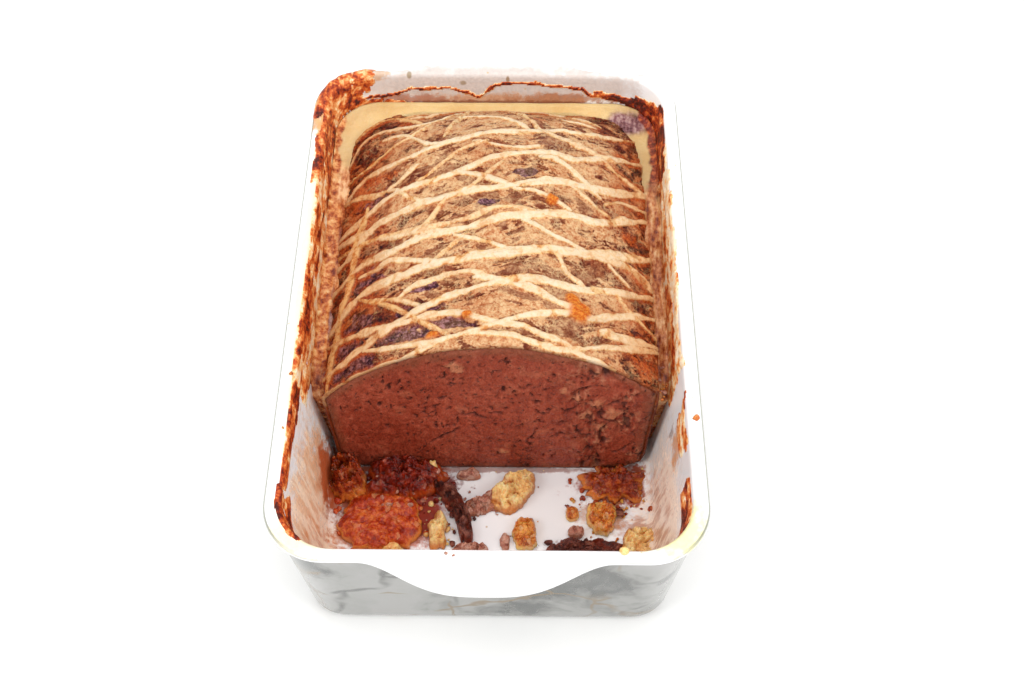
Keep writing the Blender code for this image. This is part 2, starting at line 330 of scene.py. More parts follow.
class Paint:
    """A finish under construction: wraps one material's nodes."""

    def __init__(self, name: str) -> None:
        """Start from a bare Principled shader."""
        self.material = bpy.data.materials.new(name)
        self.material.use_nodes = True
        self.tree = self.material.node_tree
        self.shader = self.tree.nodes["Principled BSDF"]
        self.place = self.tree.nodes.new("ShaderNodeTexCoord").outputs["Object"]

    def feed(self, socket: Socket, value) -> None:
        """Link a socket, set a plain number or colour on it, or leave it when the value is None."""
        if isinstance(value, Socket):
            self.tree.links.new(value, socket)
        elif isinstance(value, tuple) and socket.type == "RGBA":
            socket.default_value = (*value, 1.0)
        elif value is not None:
            socket.default_value = value

    def settle(self, node: bpy.types.Node, settings: dict) -> bpy.types.Node:
        """Set a node up: a capital letter names an input, with _ for a space, and a small one a setting."""
        for key, value in settings.items():
            if key[0].isupper():
                self.feed(node.inputs[key.replace("_", " ")], value)
            else:
                setattr(node, key, value)
        return node

    def node(self, kind: str, *values, **settings) -> bpy.types.Node:
        """A new node.

        Args:
            kind: the node's type.
            values: what its first inputs get, in order.
            settings: its settings and named inputs, as settle takes them.

        Returns:
            The node.
        """
        made = self.settle(self.tree.nodes.new(kind), settings)
        for socket, value in zip(made.inputs, values):
            self.feed(socket, value)
        return made

    def sum(self, kind: str, *values, clamp: bool = False) -> Socket:
        """One sum of a Math node."""
        return self.node("ShaderNodeMath", *values, operation=kind, use_clamp=clamp).outputs[0]

    def vector(self, kind: str, *values, output: str = "Vector", **settings) -> Socket:
        """One sum of a Vector Math node."""
        return self.node("ShaderNodeVectorMath", *values, operation=kind, **settings).outputs[output]

    def times(self, value: Socket, factor) -> Socket:
        """A value times a number or another value."""
        return self.sum("MULTIPLY", value, factor)

    def most(self, first: Socket, second) -> Socket:
        """The larger of two values."""
        return self.sum("MAXIMUM", first, second)

    def blend_of(self, *terms: tuple[Socket, float]) -> Socket:
        """A weighted sum of several values."""
        total = self.times(*terms[0])
        for value, weight in terms[1:]:
            total = self.sum("MULTIPLY_ADD", value, weight, total)
        return total

    def step(self, value: Socket, low: float, high: float, to_low=0.0, to_high=1.0) -> Socket:
        """A soft step of a value from low to high."""
        numbers = (value, low, high, to_low, to_high)
        return self.node("ShaderNodeMapRange", *numbers, interpolation_type="SMOOTHSTEP").outputs[0]

    def stretched(self, x: float, y: float, z: float) -> Socket:
        """The piece's own coordinates, scaled by these factors."""
        return self.node("ShaderNodeMapping", Vector=self.place, Scale=(x, y, z)).outputs[0]

    def sheared(self, climb: float, long: float) -> Socket:
        """The piece's own coordinates, drawn out along lines that climb to the right."""
        rows = ((1 / long, 0.0, 0.0), (-climb, 1.0, 0.0), (0.0, 0.0, 0.6))
        axes = (self.vector("DOT_PRODUCT", self.place, row, output="Value") for row in rows)
        return self.node("ShaderNodeCombineXYZ", *axes).outputs[0]

    def warped(self, size: float, push: float) -> Socket:
        """The piece's own coordinates, pushed about by noise; its size and the push in millimetres."""
        swirl = self.node("ShaderNodeTexNoise", Vector=self.place, Scale=1 / (size * MM), Detail=2.0)
        centred = self.vector("SUBTRACT", swirl.outputs["Color"], (0.5, 0.5, 0.5))
        return self.vector("ADD", self.place, self.vector("SCALE", centred, Scale=push * MM))

    def reach(self, middle: Place, spread: Place) -> Socket:
        """Distance from a middle, in shares of the half sizes."""
        offset = self.vector("DIVIDE", self.vector("SUBTRACT", self.place, middle), spread)
        return self.vector("LENGTH", offset, output="Value")

    def noise(self, size: float, detail=3.0, rough=0.55, at: Socket | None = None) -> Socket:
        """Cloudy noise of that size in millimetres, 0 to 1."""
        settings = {"Scale": 1 / (size * MM), "Detail": detail, "Roughness": rough}
        return self.node("ShaderNodeTexNoise", Vector=at or self.place, **settings).outputs["Fac"]

    def cells(
        self, size: float, feature: str = "F1", at: Socket | None = None, output: str = "Distance"
    ) -> Socket:
        """Cells of that size in millimetres: the distance to a middle or an edge, or a cell's own colour."""
        settings = {"Vector": at or self.place, "Scale": 1 / (size * MM)}
        return self.node("ShaderNodeTexVoronoi", feature=feature, **settings).outputs[output]

    def stored(self, name: str) -> Socket:
        """The number stored at each point under that name."""
        return self.node("ShaderNodeAttribute", attribute_name=name).outputs["Fac"]

    def mixed(self, share, first, second, kind: str = "MIX") -> Socket:
        """Two colours mixed."""
        made = self.node("ShaderNodeMix", data_type="RGBA", blend_type=kind, Factor=share)
        for socket, value in zip((s for s in made.inputs if s.type == "RGBA"), (first, second)):
            self.feed(socket, value)
        return next(s for s in made.outputs if s.type == "RGBA")

    def shaded(self, share, colour, *shade: int) -> Socket:
        """A colour multiplied by a shade, given by its screen values."""
        return self.mixed(share, colour, tone(*shade), "MULTIPLY")

    def ramp(self, value: Socket, *stops: tuple[float, Colour]) -> Socket:
        """Colours along a value."""
        made = self.node("ShaderNodeValToRGB", value)
        marks = made.color_ramp.elements
        while len(marks) < len(stops):
            marks.new(0.5)
        for mark, (spot, colour) in zip(marks, stops):
            mark.position = spot
            mark.color = (*colour, 1.0)
        return made.outputs[0]

    def tones(self, value: Socket, *stops: tuple[float, int, int, int]) -> Socket:
        """Colours along a value, each stop a place and three screen values."""
        return self.ramp(value, *((spot, tone(*shade)) for spot, *shade in stops))

    def relief(self, value: Socket, depth: float, below: Socket | None = None) -> Socket:
        """Fine relief of that depth in millimetres, on top of any below."""
        settings = {"Strength": 1.0, "Distance": depth * MM, "Height": value, "Normal": below}
        return self.node("ShaderNodeBump", **settings).outputs[0]

    def finish(self, colour, roughness, normal: Socket | None = None, **settings) -> Finish:
        """Wire the shader.

        Args:
            colour: the surface's colour, a socket or a plain colour.
            roughness: its roughness, a socket or a number.
            normal: its relief, or None.
            settings: other inputs of the shader, by name with _ for a space.

        Returns:
            The finished material.
        """
        given = {"Base_Color": colour, "Roughness": roughness, "Normal": normal}
        self.settle(self.shader, {**given, **settings})
        return self.material


@dataclass(frozen=True)
class StainAndShade:
    """Dried juice or grease on the glaze, or painted shade on it: middle and half sizes in millimetres,
    colour, strength.
    """

    middle: Place
    spread: Place
    colour: Colour
    strength: float = 1.0
    raggedness: float = 0.6
    streaky: bool = False


@dataclass(frozen=True)
class GlazeFinish:
    """Glossy white glaze with dried-on juices and painted shade on the upper back wall."""

    stains_and_shade: tuple[StainAndShade, ...]
    white: Colour = tone(248, 249, 250)

    def make(self) -> Finish:
        """Build the glaze."""
        paint = Paint("white_glaze")
        cloud = paint.noise(60, 2.0)
        colour = paint.mixed(paint.step(cloud, 0.35, 0.7, 0.0, 0.5), self.white, tone(240, 240, 238))
        ragged = paint.noise(7, 6.0, 0.65)
        fine = paint.noise(1.6, 3.0, 0.6)
        edge = paint.sum("ADD", paint.times(ragged, 0.8), paint.times(fine, 0.35))
        streaks = paint.noise(2.4, 4.0, 0.65, paint.stretched(0.3, 1.0, 0.16))
        cover: Socket | None = None
        for stain_and_shade in self.stains_and_shade:
            share = self.share(paint, stain_and_shade, edge)
            if stain_and_shade.streaky:
                share = paint.times(share, paint.step(streaks, 0.42, 0.6))
            darker = tuple(c * 0.8 for c in stain_and_shade.colour)
            shade = paint.mixed(paint.step(fine, 0.3, 0.75), stain_and_shade.colour, darker)
            colour = paint.mixed(share, colour, shade)
            cover = share if cover is None else paint.most(cover, share)
        colour = paint.mixed(paint.times(paint.stored("edge_line"), 0.9), colour, tone(120, 122, 104))
        specks = paint.sum("LESS_THAN", paint.cells(9), 0.055)
        colour = paint.mixed(paint.times(specks, 0.6), colour, tone(196, 158, 88))
        rough = paint.step(cover, 0.0, 1.0, 0.09, 0.34)
        waves = paint.relief(paint.noise(30, 1.0), 0.5)
        normal = paint.relief(paint.times(cover, fine), 0.35, waves)
        coat = paint.step(cover, 0.0, 1.0, 0.35, 0.05)
        gloss = paint.step(cover, 0.0, 1.0, 0.5, 0.2)
        return paint.finish(
            colour, rough, normal, Coat_Weight=coat, Coat_Roughness=0.05, Specular_IOR_Level=gloss
        )

    def share(self, paint: Paint, stain_and_shade: StainAndShade, edge: Socket) -> Socket:
        """How much of one stain or patch of painted shade shows, from its box-like falloff and the ragged
        edge.
        """
        far = paint.reach(in_metres(*stain_and_shade.middle), in_metres(*stain_and_shade.spread))
        torn = paint.sum("ADD", far, paint.times(paint.sum("SUBTRACT", edge, 0.57), stain_and_shade.raggedness * 4))
        return paint.step(torn, 1.05, 0.55, 0.0, stain_and_shade.strength)


@dataclass(frozen=True)
class MarbleFinish:
    """White glazed stoneware with a printed stone pattern of grey smudges and thin ochre veins; its ground
    is greyed by painted shade, darkest under the front handle.
    """

    def make(self) -> Finish:
        """Build the patterned outside."""
        paint = Paint("marbled_glaze")
        at = paint.warped(30, 34)
        smudge = paint.noise(52, 5.0, 0.6, at)
        soft = paint.noise(20, 4.0, 0.55, paint.warped(24, 20))
        right = paint.step(paint.reach(in_metres(44, -108, 44), in_metres(20, 12, 16)), 1.2, 0.2)
        # The middle spot is painted shade under the front handle; the right one is a dark cluster of the
        # stone pattern.
        middle = paint.step(paint.reach(in_metres(4, -108, 26), in_metres(34, 14, 26)), 1.3, 0.2)
        here = paint.blend_of((right, 1.0), (middle, 0.6))
        # The lightest stop is far greyer than the white glaze: painted shade over the whole outer wall.
        colour = paint.tones(
            paint.blend_of((smudge, 0.75), (soft, 0.25), (here, 0.07)), (0.43, 152, 151, 148),
            (0.52, 142, 142, 138), (0.57, 112, 112, 108), (0.61, 66, 68, 65), (0.68, 104, 104, 101),
        )
        lines = paint.cells(60, "DISTANCE_TO_EDGE", at)
        broken = paint.step(paint.noise(24, 3.0), 0.42, 0.6)
        grey = paint.times(paint.step(lines, 0.036, 0.004), broken)
        colour = paint.mixed(paint.times(grey, 0.9), colour, tone(74, 74, 70))
        thin = paint.cells(38, "DISTANCE_TO_EDGE", paint.warped(16, 15))
        gold = paint.times(paint.step(thin, 0.03, 0.004), paint.step(paint.noise(33, 2.0), 0.42, 0.54))
        colour = paint.mixed(paint.times(gold, 0.85), colour, tone(118, 94, 54))
        rough = paint.step(paint.noise(14, 3.0), 0.3, 0.8, 0.12, 0.24)
        normal = paint.relief(paint.noise(26, 1.0), 0.4)
        return paint.finish(colour, rough, normal, Coat_Weight=0.3, Coat_Roughness=0.06)


@dataclass(frozen=True)
class CutFinish:
    """Cooked minced meat where the knife went through: red-brown, grainy and pored."""

    def make(self) -> Finish:
        """Build the cut meat."""
        paint = Paint("cut_meat")
        broad = paint.noise(22, 3.0)
        grain = paint.noise(2.2, 4.0, 0.6, paint.stretched(1.0, 1.0, 0.6))
        fine = paint.noise(0.7, 3.0, 0.6, paint.stretched(1.0, 1.0, 0.7))
        colour = paint.tones(
            paint.blend_of((grain, 0.6), (fine, 0.45)), (0.38, 112, 40, 24), (0.48, 143, 59, 37),
            (0.58, 156, 70, 47), (0.72, 178, 96, 70),
        )
        warm = paint.shaded(1.0, colour, 238, 218, 206)
        colour = paint.mixed(paint.step(broad, 0.35, 0.7), colour, warm)
        bits = paint.cells(4.2, "F1", paint.warped(3, 2.4), "Color")
        pale = paint.step(bits, 0.72, 0.9)
        colour = paint.mixed(paint.times(pale, 0.22), colour, tone(184, 112, 80))
        side = paint.stored("rim")
        colour = paint.mixed(paint.times(side, 0.6), colour, tone(120, 68, 42))
        coarse = paint.times(paint.stored("coarse"), paint.step(grain, 0.45, 0.75))
        colour = paint.mixed(paint.times(coarse, 0.7), colour, tone(188, 132, 100))
        # Pores and cracks, stored as pit, painted near-black red: painted shade in the hollows.
        colour = paint.mixed(paint.times(paint.stored("pit"), 0.9), colour, tone(62, 14, 8))
        between = paint.cells(4.6, "DISTANCE_TO_EDGE", paint.warped(2.5, 4))
        chinks = paint.step(between, 0.06, 0.015)
        holes = paint.step(paint.cells(3.4, "F1", paint.warped(1.5, 1.6)), 0.17, 0.1)
        here = paint.noise(8, 3.0)
        torn = paint.times(chinks, paint.step(here, 0.62, 0.68))
        torn = paint.most(torn, paint.times(holes, paint.step(here, 0.42, 0.5)))
        # Chinks and small holes painted near-black red: painted shade in them.
        colour = paint.mixed(paint.times(torn, 0.7), colour, tone(58, 14, 6))
        pale = paint.mixed(fine, tone(176, 104, 70), tone(206, 142, 104))
        colour = paint.mixed(paint.stored("pale"), colour, pale)
        height = paint.blend_of((grain, 1.0), (torn, -0.5))
        normal = paint.relief(fine, 0.35, paint.relief(height, 1.0))
        rough = paint.step(grain, 0.3, 0.8, 0.42, 0.62)
        return paint.finish(
            colour, rough, normal, Subsurface_Weight=0.12, Subsurface_Radius=(0.003, 0.001, 0.0006),
            Subsurface_Scale=0.5, Specular_IOR_Level=0.3,
        )


@dataclass(frozen=True)
class SkinFinish:
    """The baked top: speckled meat, tan membranes over it and cream strands of fat on top."""

    def make(self) -> Finish:
        """Build the baked top."""
        paint = Paint("baked_skin")
        grains = paint.noise(0.8, 3.0, 0.6)
        crumbs = paint.noise(2.1, 5.0, 0.68, paint.warped(3, 2.5))
        patches = paint.noise(13, 4.0, 0.6)
        # Speckle runs darker in the relief's hollows and lighter on its rises, stored as deep: painted shade
        # and painted light.
        speckle = paint.blend_of((crumbs, 1.15), (grains, 0.5), (paint.stored("deep"), -0.1))
        speckle = paint.sum("SUBTRACT", speckle, 0.3)
        windows = paint.mixed(
            paint.step(paint.blend_of((patches, 1.0), (paint.stored("film"), 0.35)), 0.44, 0.66),
            self.meat(paint, speckle), self.filmed(paint, speckle),
        )
        brown = paint.stored("brown")
        windows = paint.mixed(paint.times(brown, 0.95), windows, self.scorched(paint, speckle))
        shade = paint.step(paint.noise(7, 4.0, 0.6, paint.warped(7, 6)), 0.45, 0.58)
        windows = paint.shaded(paint.times(shade, 0.85), windows, 208, 166, 148)
        rust = paint.step(paint.noise(6, 4.0, 0.65, paint.warped(6, 5)), 0.45, 0.56)
        rust = paint.times(rust, brown)
        windows = paint.shaded(paint.times(rust, 0.9), windows, 176, 92, 60)
        windows = paint.shaded(paint.times(brown, 0.95), windows, 184, 124, 94)
        windows = paint.shaded(1.0, windows, 236, 222, 210)
        windows = paint.shaded(paint.times(paint.stored("bare"), 0.8), windows, 202, 156, 138)
        plum = paint.step(paint.blend_of((paint.stored("plum"), 1.0), (grains, 0.4)), 0.3, 0.6)
        colour = paint.mixed(plum, windows, self.bruised(paint, speckle))
        tan = paint.tones(
            paint.blend_of((crumbs, 0.6), (grains, 0.4)), (0.38, 186, 106, 60), (0.48, 222, 158, 108),
            (0.58, 246, 206, 158),
        )
        baked = paint.shaded(1.0, tan, 222, 158, 116)
        tan = paint.mixed(paint.times(brown, 0.9), tan, baked)
        clear = paint.sum("SUBTRACT", 1.0, paint.times(paint.most(plum, rust), 0.85))
        threads = paint.noise(2.0, 4.0, 0.65, paint.sheared(0.32, 7.0))
        counter = paint.noise(2.4, 4.0, 0.65, paint.sheared(-0.42, 6.0))
        fibres = paint.most(paint.step(threads, 0.56, 0.64), paint.step(counter, 0.59, 0.66, 0.0, 0.8))
        colour = paint.mixed(paint.times(paint.times(fibres, 0.5), clear), colour, tan)
        dark_lines = paint.step(threads, 0.43, 0.36)
        strokes = paint.times(dark_lines, paint.step(brown, 0.0, 1.0, 0.15, 0.55))
        colour = paint.shaded(strokes, colour, 176, 70, 34)
        over = paint.blend_of((paint.stored("membrane"), 1.0), (speckle, 0.8))
        over = paint.step(over, 0.66, 0.92, 0.0, 0.92)
        colour = paint.mixed(paint.times(over, clear), colour, tan)
        web = paint.cells(3.4, "DISTANCE_TO_EDGE", paint.warped(4, 7))
        fine_web = paint.cells(1.8, "DISTANCE_TO_EDGE", paint.warped(2, 3))
        lace = paint.most(paint.step(web, 0.09, 0.02), paint.step(fine_web, 0.1, 0.02, 0.0, 0.7))
        lace = paint.times(paint.times(lace, clear), paint.step(paint.noise(8, 3.0), 0.44, 0.56))
        colour = paint.mixed(paint.times(lace, 0.6), colour, tone(246, 206, 156))
        wet = paint.times(paint.stored("near"), paint.step(paint.noise(5, 4.0, 0.65), 0.4, 0.52))
        juice = paint.mixed(paint.step(grains, 0.35, 0.65), tone(168, 52, 14), tone(226, 120, 52))
        seeping = paint.sum("ADD", paint.times(brown, 0.8), 0.12)
        colour = paint.mixed(paint.times(wet, seeping), colour, juice)
        soaked = paint.step(paint.noise(7, 4.0, 0.6), 0.5, 0.68)
        oozing = paint.times(paint.stored("orange"), paint.step(crumbs, 0.42, 0.56, 0.2, 0.85))
        colour = paint.mixed(oozing, colour, juice)
        fat = paint.mixed(paint.step(crumbs, 0.35, 0.6), tone(250, 218, 172), tone(253, 232, 202))
        golden = paint.mixed(paint.step(crumbs, 0.38, 0.58), tone(218, 140, 72), tone(252, 210, 148))
        fat = paint.mixed(paint.most(paint.stored("golden"), paint.times(soaked, 0.5)), fat, golden)
        cream = paint.blend_of((paint.stored("cream"), 1.0), (grains, 0.3))
        burnt = paint.mixed(grains, tone(122, 38, 14), tone(214, 124, 70))
        singed = paint.mixed(paint.times(brown, 0.75), golden, burnt)
        colour = paint.mixed(paint.step(cream, 0.18, 0.38), colour, singed)
        colour = paint.mixed(paint.step(cream, 0.36, 0.72), colour, fat)
        drip = paint.mixed(paint.step(grains, 0.35, 0.65), tone(208, 92, 14), tone(240, 150, 56))
        colour = paint.mixed(paint.stored("drip"), colour, drip)
        colour = paint.mixed(paint.times(paint.stored("edge"), 0.85), colour, tone(132, 62, 34))
        colour = paint.shaded(1.0, colour, 226, 224, 220)
        colour = paint.shaded(paint.times(brown, 0.9), colour, 232, 206, 184)
        smooth = paint.sum("SUBTRACT", 1.0, paint.step(cream, 0.3, 0.7, 0.0, 0.6))
        lumps = (paint.times(crumbs, smooth), 1.0)
        height = paint.blend_of(lumps, (fibres, 0.2), (lace, 0.12), (cream, 0.2))
        normal = paint.relief(grains, 0.25, paint.relief(height, 0.55))
        rough = paint.step(crumbs, 0.3, 0.75, 0.2, 0.42)
        return paint.finish(
            colour, rough, normal, Subsurface_Weight=0.08, Subsurface_Radius=(0.004, 0.0015, 0.0008),
            Subsurface_Scale=0.4, Specular_IOR_Level=0.13, Coat_Weight=0.03, Coat_Roughness=0.12,
        )

    def meat(self, paint: Paint, speckle: Socket) -> Socket:
        """Bare browned meat."""
        return paint.tones(
            speckle, (0.36, 122, 50, 26), (0.46, 150, 82, 48), (0.56, 180, 116, 76), (0.70, 218, 164, 122),
        )

    def filmed(self, paint: Paint, speckle: Socket) -> Socket:
        """Meat that shows through a thin greyish film."""
        return paint.tones(
            speckle, (0.36, 154, 92, 62), (0.46, 182, 132, 98), (0.56, 202, 154, 118),
            (0.70, 228, 188, 152),
        )

    def bruised(self, paint: Paint, speckle: Socket) -> Socket:
        """Dark plum-coloured meat."""
        return paint.tones(speckle, (0.42, 50, 12, 30), (0.54, 92, 44, 62), (0.68, 168, 120, 136))

    def scorched(self, paint: Paint, speckle: Socket) -> Socket:
        """Meat baked red-brown at the sides and the back."""
        return paint.tones(
            speckle, (0.38, 86, 18, 2), (0.47, 148, 62, 28), (0.56, 192, 108, 62), (0.67, 244, 172, 110),
        )


@dataclass(frozen=True)
class SetFatFinish:
    """Fat that has set round the loaf: smooth pale yellow behind, brown with juices along the sides."""

    def make(self) -> Finish:
        """Build the set fat."""
        paint = Paint("set_fat")
        broad = paint.noise(18, 3.0)
        fine = paint.noise(2.2, 4.0, 0.6)
        pale = paint.mixed(paint.step(broad, 0.35, 0.68), tone(226, 196, 140), tone(216, 178, 118))
        streaks = paint.noise(2.6, 4.0, 0.65, paint.stretched(1.0, 0.3, 1.0))
        juice = paint.tones(
            paint.blend_of((streaks, 0.6), (fine, 0.2), (broad, 0.2)), (0.40, 108, 40, 16),
            (0.47, 172, 90, 48), (0.53, 214, 142, 88), (0.61, 252, 208, 156),
        )
        colour = paint.mixed(paint.stored("juice"), pale, juice)
        blotch = paint.tones(
            paint.blend_of((fine, 0.4), (streaks, 0.6)), (0.40, 80, 36, 42), (0.50, 134, 88, 90),
            (0.60, 186, 150, 144),
        )
        colour = paint.mixed(paint.stored("blotch"), colour, blotch)
        red = paint.tones(fine, (0.36, 96, 18, 8), (0.5, 142, 42, 18), (0.64, 206, 104, 48))
        colour = paint.mixed(paint.times(paint.stored("red"), 0.95), colour, red)
        flakes = paint.tones(
            paint.blend_of((paint.noise(3.4, 4.0, 0.65), 0.7), (fine, 0.4)), (0.42, 122, 42, 14),
            (0.52, 196, 104, 50), (0.62, 238, 172, 106), (0.72, 252, 220, 168),
        )
        colour = paint.mixed(paint.stored("crusted"), colour, flakes)
        normal = paint.relief(fine, 0.35)
        rough = paint.step(fine, 0.3, 0.8, 0.2, 0.4)
        return paint.finish(
            colour, rough, normal, Subsurface_Weight=0.15, Subsurface_Radius=(0.004, 0.003, 0.0012),
            Subsurface_Scale=0.5, Specular_IOR_Level=0.25,
        )


@dataclass(frozen=True)
class BakedFinish:
    """Juices baked hard on the dish: from pale grease through orange to nearly black."""

    def make(self) -> Finish:
        """Build the baked-on crust."""
        paint = Paint("baked_on")
        fine = paint.noise(1.2, 4.0, 0.7)
        mid = paint.noise(4, 4.0, 0.6, paint.warped(4, 4))
        burn = paint.blend_of((paint.stored("burn"), 1.0), (fine, 1.0), (mid, 1.1))
        burn = paint.sum("SUBTRACT", burn, 1.08, clamp=True)
        colour = paint.tones(
            burn, (0.0, 252, 236, 206), (0.24, 250, 202, 140), (0.44, 230, 136, 66), (0.62, 198, 82, 28),
            (0.82, 138, 40, 14), (1.0, 72, 18, 8),
        )
        normal = paint.relief(fine, 0.5, paint.relief(mid, 0.8))
        rough = paint.step(fine, 0.3, 0.7, 0.25, 0.5)
        return paint.finish(colour, rough, normal, Specular_IOR_Level=0.3)


class Scrap(Enum):
    """The kinds of scrap on the dish's floor."""

    JELLY = "jelly"
    AMBER = "amber_jelly"
    DARK_JELLY = "dark_jelly"
    BROTH = "broth_jelly"
    FAT = "fat_scrap"
    MEAT = "meat_scrap"
    CRUST = "crust"

    @property
    def slot(self) -> str:
        """The record's slot that this kind takes its finish from."""
        return {"amber_jelly": "jelly", "broth_jelly": "dark_jelly"}.get(self.value, self.value)


@dataclass(frozen=True)
class ScrapFinish:
    """One kind of scrap: its colours from deep to pale, its edges, bits and gloss, and how clear it is.

    Its grain is in millimetres.
    """

    kind: Scrap
    deep: Colour
    middle: Colour
    pale: Colour
    thin: Colour
    bits: Colour
    bitty: float
    roughness: float
    clear: float = 0.0
    grain: float = 2.6

    def make(self) -> Finish:
        """Build the scrap's finish."""
        paint = Paint(f"{self.kind.value}_finish")
        fine = paint.noise(self.grain / 3, 4.0, 0.7)
        mid = paint.noise(self.grain * 1.3, 4.0, 0.65, paint.warped(self.grain, self.grain * 0.8))
        clouds = paint.blend_of((mid, 0.75), (fine, 0.35))
        colour = paint.ramp(clouds, (0.42, self.deep), (0.54, self.middle), (0.68, self.pale))
        edge = paint.step(paint.blend_of((paint.stored("thin"), 1.0), (fine, 0.8)), 0.75, 1.25, 0.0, 0.85)
        colour = paint.mixed(edge, colour, self.thin)
        loose = paint.warped(self.grain, self.grain * 0.5)
        scattered = paint.cells(self.grain * 0.75, "F1", loose, "Color")
        bits = paint.step(scattered, 0.98 - self.bitty, 1.02 - self.bitty)
        colour = paint.mixed(paint.times(bits, 0.7), colour, paint.mixed(fine, self.bits, self.middle))
        height = paint.blend_of((mid, 1.0), (bits, 0.15))
        normal = paint.relief(fine, 0.35, paint.relief(height, 1.1))
        rough = paint.step(fine, 0.3, 0.7, self.roughness * 0.8, self.roughness * 1.4)
        return paint.finish(
            colour, rough, normal, Subsurface_Weight=0.12 + 0.4 * self.clear,
            Subsurface_Radius=(0.005, 0.0018, 0.0008), Subsurface_Scale=0.6, Specular_IOR_Level=0.35,
            Coat_Weight=0.2 * self.clear, Coat_Roughness=0.1,
        )


SCRAP_FINISHES = (
    ScrapFinish(
        Scrap.JELLY, tone(136, 24, 4), tone(184, 58, 14), tone(226, 122, 52),
        tone(236, 150, 70), tone(244, 186, 126), 0.16, 0.14, 1.0,
    ),
    ScrapFinish(
        Scrap.AMBER, tone(150, 62, 14), tone(204, 112, 38), tone(240, 178, 88),
        tone(244, 196, 112), tone(250, 226, 170), 0.2, 0.14, 1.0,
    ),
    ScrapFinish(
        Scrap.DARK_JELLY, tone(70, 6, 2), tone(114, 20, 6), tone(156, 48, 18),
        tone(190, 80, 30), tone(204, 126, 100), 0.15, 0.12, 0.8,
    ),
    ScrapFinish(
        Scrap.BROTH, tone(90, 16, 4), tone(142, 46, 14), tone(190, 92, 34),
        tone(220, 128, 52), tone(216, 150, 110), 0.16, 0.15, 0.8,
    ),
    ScrapFinish(
        Scrap.FAT, tone(220, 150, 82), tone(246, 202, 130), tone(255, 228, 168),
        tone(206, 118, 50), tone(186, 104, 54), 0.14, 0.32, 0.3,
    ),
    ScrapFinish(
        Scrap.MEAT, tone(124, 62, 46), tone(176, 112, 92), tone(214, 164, 142),
        tone(186, 118, 88), tone(238, 204, 182), 0.28, 0.45,
    ),
    ScrapFinish(
        Scrap.CRUST, tone(44, 12, 8), tone(92, 38, 28), tone(150, 88, 70),
        tone(128, 46, 24), tone(184, 120, 96), 0.16, 0.34,
    ),
)


# ---- the dish


